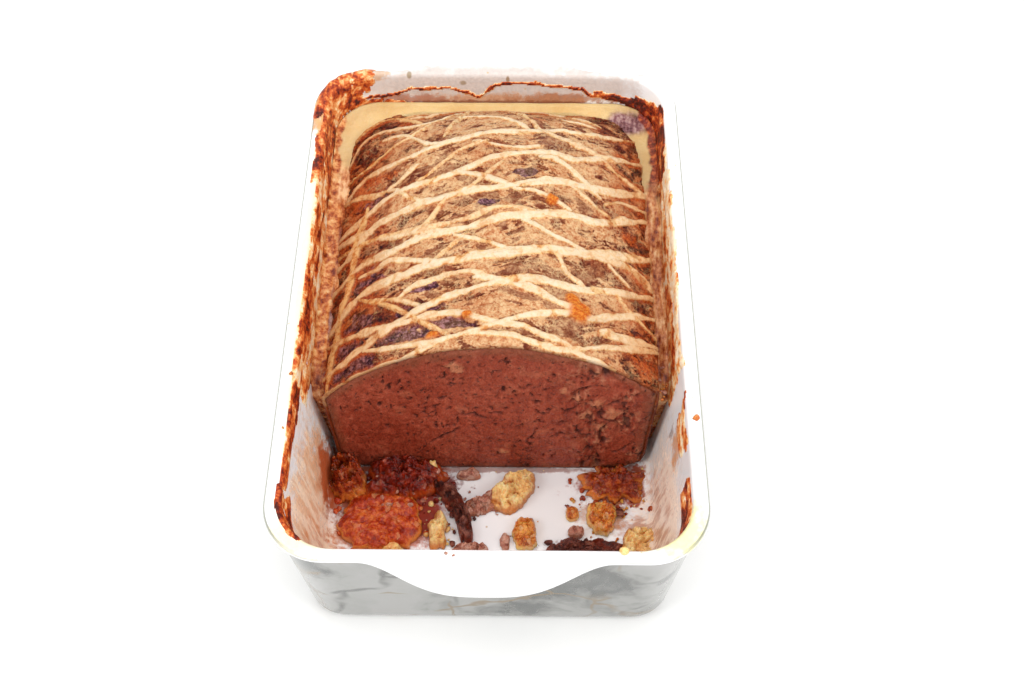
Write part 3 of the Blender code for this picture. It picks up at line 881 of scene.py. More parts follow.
@dataclass
class Dish:
    """The oblong baking dish: white glaze inside and on the rim, marbled outside."""

    rim_width: float = 152 * MM
    rim_length: float = 230 * MM
    rim_height: float = 68 * MM
    rim_corner: float = 21.5 * MM
    rim_depth: float = 5.4 * MM
    rim_side: float = 5.6 * MM
    rim_end: float = 4.0 * MM
    rim_overhang: float = 2.6 * MM
    under_step: float = 1.6 * MM
    handle_width: float = 86 * MM
    handle_reach: float = 11.8 * MM
    handle_drop: float = 0.8 * MM
    foot_inset: float = 8.0 * MM
    foot_corner: float = 15.5 * MM
    foot_round: float = 5.0 * MM
    floor_height: float = 6.0 * MM
    floor_inset: float = 8.9 * MM
    floor_corner: float = 16.0 * MM
    floor_round: float = 9.0 * MM
    floor_share: float = 0.87
    inner_corner: float = 19.5 * MM
    lip_round: float = 1.4 * MM
    lip_fall: float = 1.4
    bare_foot: float = 0.5 * MM
    side_steps: int = 24
    end_steps: int = 64
    corner_steps: int = 18
    glazed_rows: int = 0
    edge_row: int = 0

    def outline(self, half_x: float, half_y: float, corner: float, reach: float = 0.0) -> Array:
        """Points of a rounded oblong, anticlockwise from the right side's front end.

        Args:
            half_x: half its width.
            half_y: half its length.
            corner: its corner radius.
            reach: how far the two handles stick out.

        Returns:
            An array of rows x, y.
        """
        ring = []
        for turn in range(4):
            on_side = turn % 2 == 0
            sign = 1 - turn if on_side else 2 - turn
            steps = self.side_steps if on_side else self.end_steps
            share = np.arange(steps) / steps * 2 - 1
            if on_side:
                ring.append(np.stack([np.full(steps, sign * half_x), (half_y - corner) * share * sign], 1))
            else:
                x = -(half_x - corner) * share * sign
                ring.append(np.stack([x, sign * (half_y + reach * self.handle_wave(x))], 1))
            centre_x = (half_x - corner) * (1 if turn in (0, 3) else -1)
            centre_y = (half_y - corner) * (1 if turn in (0, 1) else -1)
            angle = math.pi / 2 * (turn + np.arange(self.corner_steps) / self.corner_steps)
            ring.append(np.stack([centre_x + corner * np.cos(angle), centre_y + corner * np.sin(angle)], 1))
        return np.vstack(ring)

    def rim_outline(self, grow: float, reach: float = 0.0) -> Array:
        """The rim's outline, grown by so much on every side, with its handles if they reach out."""
        half_x, half_y = self.rim_width / 2 + grow, self.rim_length / 2 + grow
        return self.outline(half_x, half_y, self.rim_corner + grow, reach)

    def handle_wave(self, x: Array) -> Array:
        """How far a handle sticks out at x, from 0 at its ends to 1 in its middle."""
        along = np.minimum(np.abs(x) / (self.handle_width / 2), 1.0)
        return 0.5 * (1 + np.cos(math.pi * along**1.5))

    def inner_half(self, z: float) -> tuple[float, float]:
        """Half the inner width and length at height z."""
        up = (z - self.floor_height) / (self.rim_height - self.floor_height)
        inset = self.floor_inset * (1 - up)
        return self.rim_width / 2 - self.rim_side - inset, self.rim_length / 2 - self.rim_end - inset

    def corner_at(self, z: float) -> float:
        """The inner corner radius at height z."""
        up = (z - self.floor_height) / (self.rim_height - self.floor_height)
        return blend(self.floor_corner, self.inner_corner, up)

    def floor_at(self, x: float, y: float) -> float:
        """Height of the inner surface under a point, with the round edge of the floor."""
        outside = past_oblong(np.array([[x, y]]), *self.inner_half(self.floor_height), self.floor_corner)[0]
        rise = np.clip(outside + self.floor_round * self.floor_share, 0, self.floor_round * 0.99)
        return self.floor_height + self.floor_round - math.sqrt(self.floor_round**2 - rise**2)

    def outer_rows(self) -> list[Array]:
        """Rings from the foot up the outer wall to the rim's inner edge."""
        rows = []
        foot_x = self.rim_width / 2 - self.foot_inset
        foot_y = self.rim_length / 2 - self.foot_inset
        for angle in np.radians(np.linspace(-90, -8, 9)):
            out = self.foot_round * (math.cos(angle) - 1)
            flat = self.outline(foot_x + out, foot_y + out, self.foot_corner + out)
            rows.append(ring_at(flat, self.foot_round * (1 + math.sin(angle))))
        start = rows[-1]
        under = self.rim_height - self.rim_depth
        top = self.rim_outline(-self.rim_overhang)
        for share in np.linspace(0, 1, 15)[1:]:
            height = blend(start[0, 2], under - self.under_step, share)
            rows.append(ring_at(blend(start[:, :2], top, share), height))
        for out, up in ((0.1, 1.0), (0.4, 0.55), (0.9, 0.35)):
            flat = self.rim_outline(-self.rim_overhang + out * MM, self.handle_reach * out * 0.12)
            rows.append(ring_at(flat, under - up * MM))
        self.glazed_rows = len(rows) - 3
        self.edge_row = len(rows) + 7
        edge = self.rim_depth / 2
        for angle in np.radians(np.linspace(-64, 82, 15)):
            up = under + edge * (1 + math.sin(angle))
            flat = self.rim_outline(edge * (math.cos(angle) - 1), self.handle_reach)
            past = (np.abs(flat[:, 1]) - (self.rim_length / 2 - self.rim_end)) / self.handle_reach
            droop = self.handle_drop * self.handle_wave(flat[:, 0]) * np.clip(past, 0, 1)
            rows.append(ring_at(flat, up - droop * (0.4 + 0.6 * (up - under) / self.rim_depth)))
        return rows

    def inner_rows(self) -> list[Array]:
        """Rings from the rim's inner edge down the wall to the edge of the floor."""
        rows = []
        outer = self.rim_outline(-self.rim_overhang, self.handle_reach)
        half_x, half_y = self.inner_half(self.rim_height)
        wide = self.lip_round
        lip = self.outline(half_x + wide, half_y + wide, self.inner_corner + wide)
        for share in (0.3, 0.6, 0.85, 1.0):
            rows.append(ring_at(blend(outer, lip, share), self.rim_height))
        for angle in np.radians(np.linspace(70, 5, 6)):
            drop = self.lip_round * (1 - math.sin(angle)) * self.lip_fall
            rows.append(self.inner_ring(-self.lip_round * (1 - math.cos(angle)), self.rim_height - drop))
        low = self.floor_height + self.floor_round
        for z in np.linspace(self.rim_height - 4 * MM, low + 1 * MM, 12):
            rows.append(self.inner_ring(0.0, z))
        draft = math.atan(self.floor_inset / (self.rim_height - self.floor_height))
        foot_x, foot_y = self.inner_half(self.floor_height)
        for angle in np.linspace(-draft, -math.pi / 2, 10):
            out = self.floor_round * (math.cos(angle) - self.floor_share)
            corner = max(self.corner_at(low) + out - (1 - self.floor_share) * self.floor_round, 5 * MM)
            flat = self.outline(foot_x + out, foot_y + out, corner)
            rows.append(ring_at(flat, low + self.floor_round * math.sin(angle)))
        return rows

    def inner_ring(self, inset: float, z: float) -> Array:
        """One ring of the inner wall at height z."""
        half_x, half_y = self.inner_half(z)
        corner = max(self.corner_at(z) - inset, 3 * MM)
        return ring_at(self.outline(half_x - inset, half_y - inset, corner), z)

    def build(self, glaze: Finish, marble: Finish) -> Piece:
        """Make the dish.

        Args:
            glaze: the finish of the inside and the rim.
            marble: the finish of the outer wall and the foot.

        Returns:
            The finished piece.
        """
        rings = np.array(self.outer_rows() + self.inner_rows())
        rings = np.concatenate([rings, rings[:, :1]], axis=1)
        piece = shaped_grid("baking_dish", rings)
        line = np.zeros(rings.shape[:2])
        beside = ease(np.abs(rings[0, :, 0]) / np.abs(rings[0, :, 0]).max(), 0.9, 0.99)
        for step, strength in enumerate((0.4 * (1 - beside), blend(0.4, 0.7, beside), beside, beside)):
            line[self.edge_row + step] = strength
        give(piece, "edge_line", line.ravel())
        weld(piece, recalc=False)
        close_holes(piece)
        dress(piece, glaze, marble)
        middles = np.empty(len(piece.data.polygons) * 3)
        piece.data.polygons.foreach_get("center", middles)
        marks = (middles[2::3] < self.bare_foot).astype(np.int32)
        marks[: self.glazed_rows * (rings.shape[1] - 1)] = 1
        piece.data.polygons.foreach_set("material_index", marks)
        return hand_over(piece, "glaze", "dish")


# ---- the loaf


@dataclass(frozen=True)
class Strand:
    """One strand of the caul fat: x and y in turn of the places it passes, its width, in millimetres."""

    run: tuple[float, ...]
    width: float
    golden: float = 0.0


@dataclass
class LoafForm:
    """The loaf's shape: an arched top on nearly straight sides, cut across at its front."""

    half_width: float = 62.3 * MM
    half_length: float = 104 * MM
    corner: float = 31 * MM
    taper: float = 0.05
    side_top: float = 50 * MM
    foot: float = 6 * MM
    bottom: float = 6.35 * MM
    bottom_inset: float = 12 * MM
    bottom_round: float = 9 * MM
    draft: float = 3.2 * MM
    crown: float = 83.2 * MM
    crown_radius: float = 81 * MM
    crown_shift: float = 2.5 * MM
    end_fall: float = 60 * MM
    end_fullness: float = 0.85
    cut_at_foot: float = -45 * MM
    cut_lean: float = 0.06
    lumps: Grain = field(default_factory=lambda: Grain(3))

    def cut_y(self, z: Array) -> Array:
        """Y of the cut face at height z."""
        return self.cut_at_foot + self.cut_lean * (z - self.foot)

    def along_at(self, y: Array) -> Array:
        """The share of the way from the cut to the back end at each y."""
        return np.clip((y - self.cut_at_foot) / (self.half_length - self.cut_at_foot), 0, 1)

    def width_at(self, y: Array) -> Array:
        """Half the loaf's width along its length, with its round back corners and slight taper."""
        past = np.clip(y - (self.half_length - self.corner), 0, self.corner)
        round_off = self.corner - np.sqrt(np.maximum(self.corner**2 - past**2, 0))
        return (self.half_width - round_off) * (1 - self.taper * self.along_at(y))

    def top_z(self, x: Array, y: Array) -> Array:
        """Height of the arched top over each point."""
        arch = self.crown - self.crown_radius
        arch = arch + np.sqrt(np.maximum(self.crown_radius**2 - (x - self.crown_shift) ** 2, 0))
        fall = np.clip((np.abs(y) - (self.half_length - self.end_fall)) / self.end_fall, 0, 1)
        kept = np.maximum(1 - fall**2, 0) ** self.end_fullness
        flat = np.stack([x, y, np.zeros_like(x)], -1).reshape(-1, 3)
        waver = 1.0 * MM * self.lumps.at(flat, 30).reshape(np.shape(x))
        return self.side_top + (arch - self.side_top + waver) * kept

    def across(self, count: int) -> Array:
        """Shares of the half width, -1 to 1, evenly spaced along the arch."""
        reach = (np.array([-self.half_width, self.half_width]) - self.crown_shift) / self.crown_radius
        turn = np.linspace(*np.arcsin(reach), count)
        return (self.crown_shift + self.crown_radius * np.sin(turn)) / self.half_width

    def along(self, count: int) -> Array:
        """Places from the cut to the back end, 0 to 1, evenly spaced over the surface."""
        y = np.linspace(self.cut_at_foot, self.half_length, 4000)
        rise = np.diff(self.top_z(np.zeros_like(y), y))
        run = np.sqrt(np.diff(y) ** 2 + rise**2 + np.diff(self.width_at(y)) ** 2)
        total = np.concatenate([[0], np.cumsum(run)])
        return self.along_at(np.interp(np.linspace(0, total[-1], count), total, y))

    def top_points(self, columns: int, rows: int) -> Array:
        """The arched top as rows of points, the cut edge first."""
        share = self.across(columns)[None, :]
        place = self.along(rows)[:, None]
        y = blend(self.cut_at_foot, self.half_length, place) + 0 * share
        x = share * self.width_at(y)
        z = self.top_z(x, y)
        y = y + (self.cut_y(z) - self.cut_at_foot) * (1 - place)
        return np.stack([x, y, z], -1)

    def inset_at(self, z: Array) -> Array:
        """How far the wall stands in at height z."""
        up = (z - self.foot) / (self.side_top - self.foot)
        lean = self.draft * (1 - np.clip(up, 0, 1))
        low = np.clip((self.bottom + self.bottom_round - z) / self.bottom_round, 0, 1)
        return lean + self.bottom_inset * (1 - np.sqrt(1 - low**2))

    def wall_points(self, top: Array, rows: int) -> Array:
        """The side and back walls, hung from the edge of the top.

        Args:
            top: the top's points, from top_points.
            rows: how many rows, the edge itself included.

        Returns:
            Rows of points from the top's edge down, left front round the back to right front.
        """
        edge = np.concatenate([top[:, 0], top[-1, 1:-1], top[::-1, -1]])
        tangent = np.gradient(edge[:, :2], axis=0)
        tangent /= np.maximum(np.linalg.norm(tangent, axis=1, keepdims=True), 1e-9)
        inward = np.stack([tangent[:, 1], -tangent[:, 0]], 1)
        back = self.along_at(edge[:, 1])
        walls = []
        for share in np.linspace(0, 1, rows) ** 1.15:
            z = blend(edge[:, 2], self.bottom, share)
            inset = np.maximum(self.inset_at(z) - self.inset_at(edge[:, 2]), 0)[:, None]
            flat = edge[:, :2] + inward * inset
            flat[:, 1] += (self.cut_y(z) - self.cut_y(edge[:, 2])) * (1 - back)
            walls.append(ring_at(flat, z))
        return np.array(walls)


STRANDS = (
    Strand((-58, 74, -55, 80, -50, 84, -42, 84, -30, 82, -25, 82, -19, 87, -14, 93), 2.4, 0.1),
    Strand((-46, 76, -38, 75, -31, 69, -26, 64, -20, 62), 2.2),
    Strand((-62, 50, -52, 56, -40, 57, -30, 59, -20, 62, -6, 64, 8, 67, 18, 70, 26, 74, 36, 74, 46, 78, 56,
            82), 2.6),
    Strand((-62, 30, -50, 36, -37, 40, -26, 41, -13, 44, 0, 50, 14, 53, 24, 55, 32, 54, 42, 59, 58,
            67), 2.9),
    Strand((-62, 16, -54, 21, -44, 27, -34, 29, -20, 31, -5, 33, 10, 36, 25, 40, 38, 41, 48, 44, 56, 48, 62,
            52), 3.3),
    Strand((-62, 3, -52, 10, -38, 10, -24, 13, -8, 15, 6, 19, 16, 21, 26, 23, 38, 24, 48, 29, 61, 38), 3.4),
    Strand((-62, -14, -50, -5, -36, -3, -22, -1, -8, 0, 8, 3, 24, 6, 38, 8, 48, 12, 61, 18), 3.8),
    Strand((-60, -34, -46, -30, -29, -22, -17, -17, -6, -14, 6, -11, 18, -10, 32, -11, 46, -7, 62, 0), 3.1),
    Strand((-62, -20, -52, -22, -42, -24, -30, -25, -18, -24, -10, -25, -2, -28, 10, -32), 2.8, 0.1),
    Strand((-26, -38, -12, -35, 3, -30, 15, -26, 30, -22, 36, -23, 48, -17, 62, -10), 2.5),
    Strand((-61, -42, -50, -42, -40, -42, -30, -41, -20, -37, -7, -34, 8, -36, 24, -39, 36, -35, 48, -31,
            62, -25), 2.4, 0.1),
    Strand((18, 52, 23, 52, 29, 49, 36, 43, 42, 38), 2.2, 0.1),
    Strand((-44, 45, -38, 42, -33, 36, -25, 30), 1.9, 0.1),
    Strand((-62, 50, -54, 48, -46, 44, -38, 46, -30, 52), 2, 0.3),
    Strand((-14, 44, -9, 42, -2, 40, 4, 37, 10, 35), 2.6),
    Strand((-8, 60, 2, 57, 10, 56, 18, 58), 1.9, 0.1),
    Strand((18, 72, 25, 69, 31, 66, 40, 61, 48, 60), 3, 0.35),
    Strand((-13, 82, -7, 80, 2, 79, 8, 76, 14, 71), 1.9, 0.1),
    Strand((-36, 91, -26, 95, -16, 98, -4, 99, 10, 98, 22, 96, 34, 91, 44, 85), 2, 0.3),
    Strand((4, 98, 8, 94, 13, 84, 17, 75, 20, 69), 1.7, 0.6),
    Strand((28, 86, 34, 84, 42, 82), 1.8),
    Strand((8, 34, 17, 33, 22, 31, 30, 26), 1.8, 0.1),
    Strand((44, 36, 50, 40, 58, 42), 1.8, 0.1),
    Strand((-56, 22, -37, 19, -24, 17, -10, 19, 4, 24, 14, 23, 22, 20), 1.9, 0.6),
    Strand((-58, 84, -54, 90, -46, 95, -38, 92, -30, 84), 1.6, 0.8),
    Strand((-40, 92, -31, 97, -22, 99), 1.7, 0.7),
    Strand((-20, 67, -17, 76, -13, 87, -11, 97), 1.9, 0.7),
    Strand((-50, -6, -43, -11, -35, -17, -26, -25, -12, -36), 1.8, 0.8),
    Strand((-50, 40, -51, 32, -54, 17, -54, 2, -57, -7, -59, -23, -60, -36), 2.8, 0.5),
    Strand((-64, 28, -53, 27, -46, 24), 2.8),
    Strand((-50, 4, -44, 5, -37, 6, -27, 2, -18, 0), 2, 0.1),
    Strand((-44, 20, -37, 17, -29, 16, -20, 14), 1.7, 0.2),
    Strand((-14, 12, -8, 10, -2, 8, 6, 4), 2.1),
    Strand((-34, -14, -30, -10, -19, -7, -8, -6, 0, -10, 8, -11), 1.9, 0.3),
    Strand((-6, -9, 0, -10, 6, -12), 2.6),
    Strand((10, 20, 14, 17, 22, 13, 30, 10, 40, 7), 2.2),
    Strand((38, 8, 46, 8, 54, 8, 62, 3), 3.2),
    Strand((44, 6, 47, 3, 52, -1), 1.7, 0.2),
    Strand((8, -12, 16, -15, 23, -18, 32, -21), 2.4),
    Strand((4, -29, 12, -31, 20, -34, 30, -37), 2.2, 0.1),
    Strand((28, -38, 36, -40, 46, -42), 2.6),
    Strand((40, -27, 47, -27, 58, -24), 3.1),
    Strand((24, 6, 26, 2, 28, -3, 36, -10), 1.7, 0.4),
    Strand((-46, -9, -36, -13, -26, -18), 1.6, 0.5),
    Strand((-46, -32, -38, -34, -26, -36, -16, -37), 1.9, 0.1),
    Strand((-56, 62, -44, 66, -34, 72, -26, 80), 1.5, 0.6),
    Strand((-30, 42, -20, 50, -12, 56, -2, 60), 1.5, 0.7),
    Strand((30, 40, 38, 34, 46, 29), 1.6, 0.4),
    Strand((44, 58, 50, 54, 58, 52), 1.8, 0.2),
    Strand((-30, 12, -24, 20, -18, 30), 1.4, 0.7),
    Strand((-10, 32, -4, 40, 4, 48), 1.4, 0.6),
    Strand((46, -8, 52, -14, 60, -18), 1.6, 0.5),
    Strand((-24, -2, -16, 6, -8, 14), 1.4, 0.7),
)


PLUM_PATCHES = (
    (-47, 0, 8, 6), (-52, -22, 9, 8), (-38, -29, 17, 5), (-16, -29, 13, 3.6), (-54, -38, 12, 7),
    (-2, 26, 4, 3), (12, 43, 5, 3), (-46, 42, 7, 4), (-26, -20, 10, 2.6), (-24, -10, 8, 2.6),
)
FILM_PATCHES = (
    (8, 5, 22, 14), (20, -22, 22, 14), (2, 24, 26, 10), (-8, 48, 22, 8), (12, -5, 30, 6), (26, 30, 18, 9),
    (-20, 4, 14, 6), (6, 86, 16, 8), (20, -34, 24, 6),
)
DRIPS = (
    (32, -21, 4.2, 5.5), (30, -16.5, 3, 3), (-8, -26, 2.4, 1.6), (-20, -33, 2.6, 2), (23, 30, 2.2, 2.6),
)
ORANGE_PATCHES = (
    (-19, -33, 4, 2.5), (-9, -26, 3, 2), (24, 29, 3.5, 3), (-46, 52, 9, 2.5),
    (-50, 32, 6, 4), (36, 24, 4, 2), (54, 24, 6, 3), (57, -34, 6, 5), (-56, 44, 5, 4), (18, 84, 3, 4),
    (-53, 8, 4, 8), (-36, 88, 7, 3), (52, 66, 5, 3),
)


@dataclass
class CaulNet:
    """The net of caul fat over the loaf: broad cream strands and finer membranes that run with them."""

    beyond: float = 10 * MM
    path_points: int = 60
    middle: float = 3 * MM
    at_side: float = 55 * MM
    edge_wander: float = 0.2 * MM
    climb: tuple[float, float] = (0.32, -0.42)
    grain: Grain = field(default_factory=lambda: Grain(41))

    def path(self, strand: Strand) -> Array:
        """A strand's middle line; one that reaches the side goes on down it."""
        path = flow(np.reshape(strand.run, (-1, 2)), self.path_points) * MM
        if abs(path[0, 0]) > self.at_side:
            path = np.vstack([path[0] + (path[0] - path[3]) * 4, path])
        if abs(path[-1, 0]) > self.at_side:
            path = np.vstack([path, path[-1] + (path[-1] - path[-4]) * 4])
        return path

    def strands(self, points: Array) -> dict[str, Array]:
        """How the broad strands lie at each point.

        Args:
            points: rows of x, y, z on the top.

        Returns:
            By name: cream (1 in the middle of a strand), near (1 beside one) and golden (how yellow).
        """
        cream, near, golden = (np.zeros(len(points)) for _ in range(3))
        wander = self.edge_wander * self.grain.layers(points + 1.0, 4, 2)
        width = 1 + 0.55 * self.grain.layers(points * np.array([0.5, 1, 1]) + 4.0, 9, 2)
        worn = ease(self.grain.layers(points + 6.0, 9, 3), 0.2, 0.7)
        for strand in STRANDS:
            path = self.path(strand)
            low, high = path.min(0) - self.beyond, path.max(0) + self.beyond
            hit = np.where(((points[:, :2] > low) & (points[:, :2] < high)).all(1))[0]
            start, step = path[:-1], np.diff(path, axis=0)
            offset = points[hit, None, :2] - start[None]
            share = np.clip((offset * step[None]).sum(2) / (step**2).sum(1)[None], 0, 1)
            gap = np.linalg.norm(offset - share[..., None] * step[None], axis=2)
            nearest = gap.argmin(1)
            spot = (nearest + share[np.arange(len(hit)), nearest]) / len(step)
            gap = gap.min(1) + wander[hit]
            ends = np.clip(np.minimum(spot, 1 - spot) * 7 + 0.25, 0, 1) ** 0.6
            half = strand.width * MM / 2 * ends * width[hit] * 1.04
            value = np.clip(1 - (np.maximum(gap, 0) / (half * 1.2)) ** 2, 0, 1) * (1 - 0.7 * worn[hit])
            golden[hit] = np.where(value > cream[hit], strand.golden, golden[hit])
            cream[hit] = np.maximum(cream[hit], value)
            near[hit] = np.maximum(near[hit], 1 - ease(gap, half, half + 2.5 * MM))
        off_middle = np.abs(points[:, 0] - self.middle) + 4 * MM * self.grain.at(points + 7.0, 12)
        side = ease(off_middle, 30 * MM, 58 * MM)
        return {"cream": cream, "near": near, "golden": np.clip(golden + 0.4 * worn + 0.45 * side, 0, 1)}

    def membranes(self, points: Array) -> Array:
        """How thick the thin tan membranes lie at each point, 0 to 1."""
        total = np.zeros(len(points))
        for turn, (climb, size, strong) in enumerate(zip(self.climb, (8, 9.5), (1.0, 0.85))):
            bent = points.copy()
            bent[:, 1] -= climb * points[:, 0]
            bent[:, 1] += 1.6 * MM * self.grain.at(points + turn, 16)
            bent[:, 0] *= 0.2
            bent[:, 2] *= 0.3
            ridge = 1 - 3.8 * np.abs(self.grain.layers(bent + turn * 0.5, size, 2, 0.5))
            fringe = 1 - 4.0 * np.abs(self.grain.layers(bent + turn * 0.5 + 2.0, size / 2.5, 2, 0.5))
            patch = ease(self.grain.at(points + 3 * turn + 0.7, 15), -0.35, 0.2)
            band = np.maximum(ease(ridge, 0.0, 0.6), 0.75 * ease(fringe, 0.0, 0.7))
            total = np.maximum(total, strong * band * patch)
        return total


@dataclass
class Loaf:
    """The loaf's baked outside, from the cut edge to the back end."""

    form: LoafForm
    net: CaulNet
    columns: int = 268
    rows: int = 300
    wall_rows: int = 12
    skin: float = 1.2 * MM
    recess_depth: float = 3.5 * MM
    wall_from: float = 50 * MM
    wall_to: float = 44 * MM
    calm_below: float = 8 * MM
    grain: Grain = field(default_factory=lambda: Grain(11))

    def relief(self, points: Array, marks: dict[str, Array]) -> tuple[Array, Array]:
        """How far the baked top stands out at each point, and how much of that is hollow."""
        stretch = points * np.array([0.75, 1.25, 1.0])
        broad = 0.8 * self.grain.at(points, 17)
        folds = 0.6 * self.grain.layers(stretch, 6, 4, 0.62) - 0.35 * marks["bare"]
        fine = 0.22 * self.grain.layers(points + 0.2, 1.7, 2)
        gully = -0.8 * self.grain.veins(stretch + 0.1, 13)
        gully = gully * ease(self.grain.at(points + 0.3, 20), 0, 0.3)
        filled = (1 - 0.8 * marks["cream"], 1 - 0.4 * marks["membrane"])
        hollow = (0.8 * folds + 0.7 * fine + gully) * filled[0] * filled[1]
        fat = 0.85 * np.sqrt(marks["cream"]) + 0.4 * marks["membrane"] + 1.1 * marks["drip"]
        return (broad + hollow + fat) * MM, np.clip(-hollow / 0.9, -1, 1)

    def build(self, finish: Finish) -> Piece:
        """Make the loaf's outside.

        Args:
            finish: the finish of the baked top.

        Returns:
            The finished piece.
        """
        top = self.form.top_points(self.columns, self.rows)
        walls = self.form.wall_points(top, self.wall_rows)
        piece = join([shaped_grid("pate_loaf", top), shaped_grid("pate_walls", walls)])
        weld(piece)
        points = points_of(piece)
        marks = self.net.strands(points)
        foot = ease(-points[:, 2], -self.wall_from, -self.wall_to)
        marks["cream"] *= 1 - 0.85 * foot
        marks["membrane"] = self.net.membranes(points)
        marks.update(self.patches(points))
        # The hollow share, stored as deep, darkens the skin's colour in the hollows as painted shade.
        lift, marks["deep"] = self.relief(points, marks)
        edge = ease(points[:, 1] - self.form.cut_y(points[:, 2]), 0.0, 4 * MM)
        fringe = np.where(points[:, 2] > self.calm_below, 1.0, 0.0)
        lift = lift * (0.35 + 0.65 * edge) * fringe
        normals = normals_of(piece)
        if normals[np.argmax(points[:, 2]), 2] < 0:
            normals = -normals
        normals[:, 1] *= edge
        moved = points + normals * lift[:, None]
        front = edge <= 0.0
        moved[front, 1] = self.form.cut_y(moved[front, 2])
        put_points(piece, moved)
        for name, values in marks.items():
            give(piece, name, values)
        self.close(piece)
        dress(piece, finish)
        return hand_over(piece, "pate", "loaf")

    def patches(self, points: Array) -> dict[str, Array]:
        """Where bare dark meat, film, orange jelly and browning lie, by name."""
        x, y, z = points.T / MM
        ragged = self.grain.layers(points + 0.6, 6, 3)

        def spots(places: tuple[tuple[float, float, float, float], ...], torn: float = 0.5) -> Array:
            """Soft patches, each given by its middle and half sizes."""
            total = np.zeros(len(points))
            for cx, cy, rx, ry in places:
                away = np.hypot((x - cx) / rx, (y - cy) / ry) + torn * ragged
                total = np.maximum(total, 1 - ease(away, 0.6, 1.1))
            return total

        wall = ease(-z, -self.wall_from / MM - 2, -self.wall_to / MM)
        climb = self.net.climb[0] * points[:, 0]
        leaning = np.column_stack([points[:, 0] * 0.45, points[:, 1] - climb, points[:, 2]])
        side = ease(np.abs(x - 3) + 5 * ragged, 32, 60)
        back = ease(y, 84, 102)
        front_left = ease(-x, 20, 44) * ease(-y, -16, 10)
        clouds = self.grain.at(points + 0.9, 15)
        brown = 1.05 * side + 0.9 * back + wall + 0.5 * front_left + 0.35 * clouds
        behind = points[:, 1] - self.form.cut_y(points[:, 2])
        return {
            "plum": spots(PLUM_PATCHES) * (1 - wall),
            "film": spots(FILM_PATCHES),
            "orange": spots(ORANGE_PATCHES, 0.3),
            "drip": spots(DRIPS, 0.25),
            "brown": np.clip(brown, 0, 1),
            "bare": ease(self.grain.layers(leaning, 6.5, 3, 0.6), -0.1, 0.4),
            "edge": (1 - ease(behind, 0.1 * MM, 0.7 * MM)) * (0.35 + 0.65 * wall),
        }

    def close(self, piece: Piece) -> None:
        """Close the front and the bottom with a face each."""
        points = points_of(piece)
        form = self.form
        low = points[:, 2] < form.bottom + 0.01 * MM
        corners = []
        for sign in (-1, 1):
            score = np.where(low, -sign * points[:, 0] + 4 * points[:, 1], np.inf)
            corners.append(int(np.argmin(score)))
        with editing(piece, "VERT", corners):
            bpy.ops.mesh.edge_face_add()
        close_holes(piece)
        self.recess(piece)

    def recess(self, piece: Piece) -> None:
        """Set the front face back, so that the cut meat sits inside the skin."""
        facing = [(len(face.vertices), face.index) for face in piece.data.polygons if face.normal.y < -0.8]
        with editing(piece, "FACE", [max(facing)[1]]):
            bpy.ops.mesh.inset(thickness=self.skin)
            inwards = {"value": (0.0, self.recess_depth, 0.0)}
            bpy.ops.mesh.extrude_region_move(TRANSFORM_OT_translate=inwards)


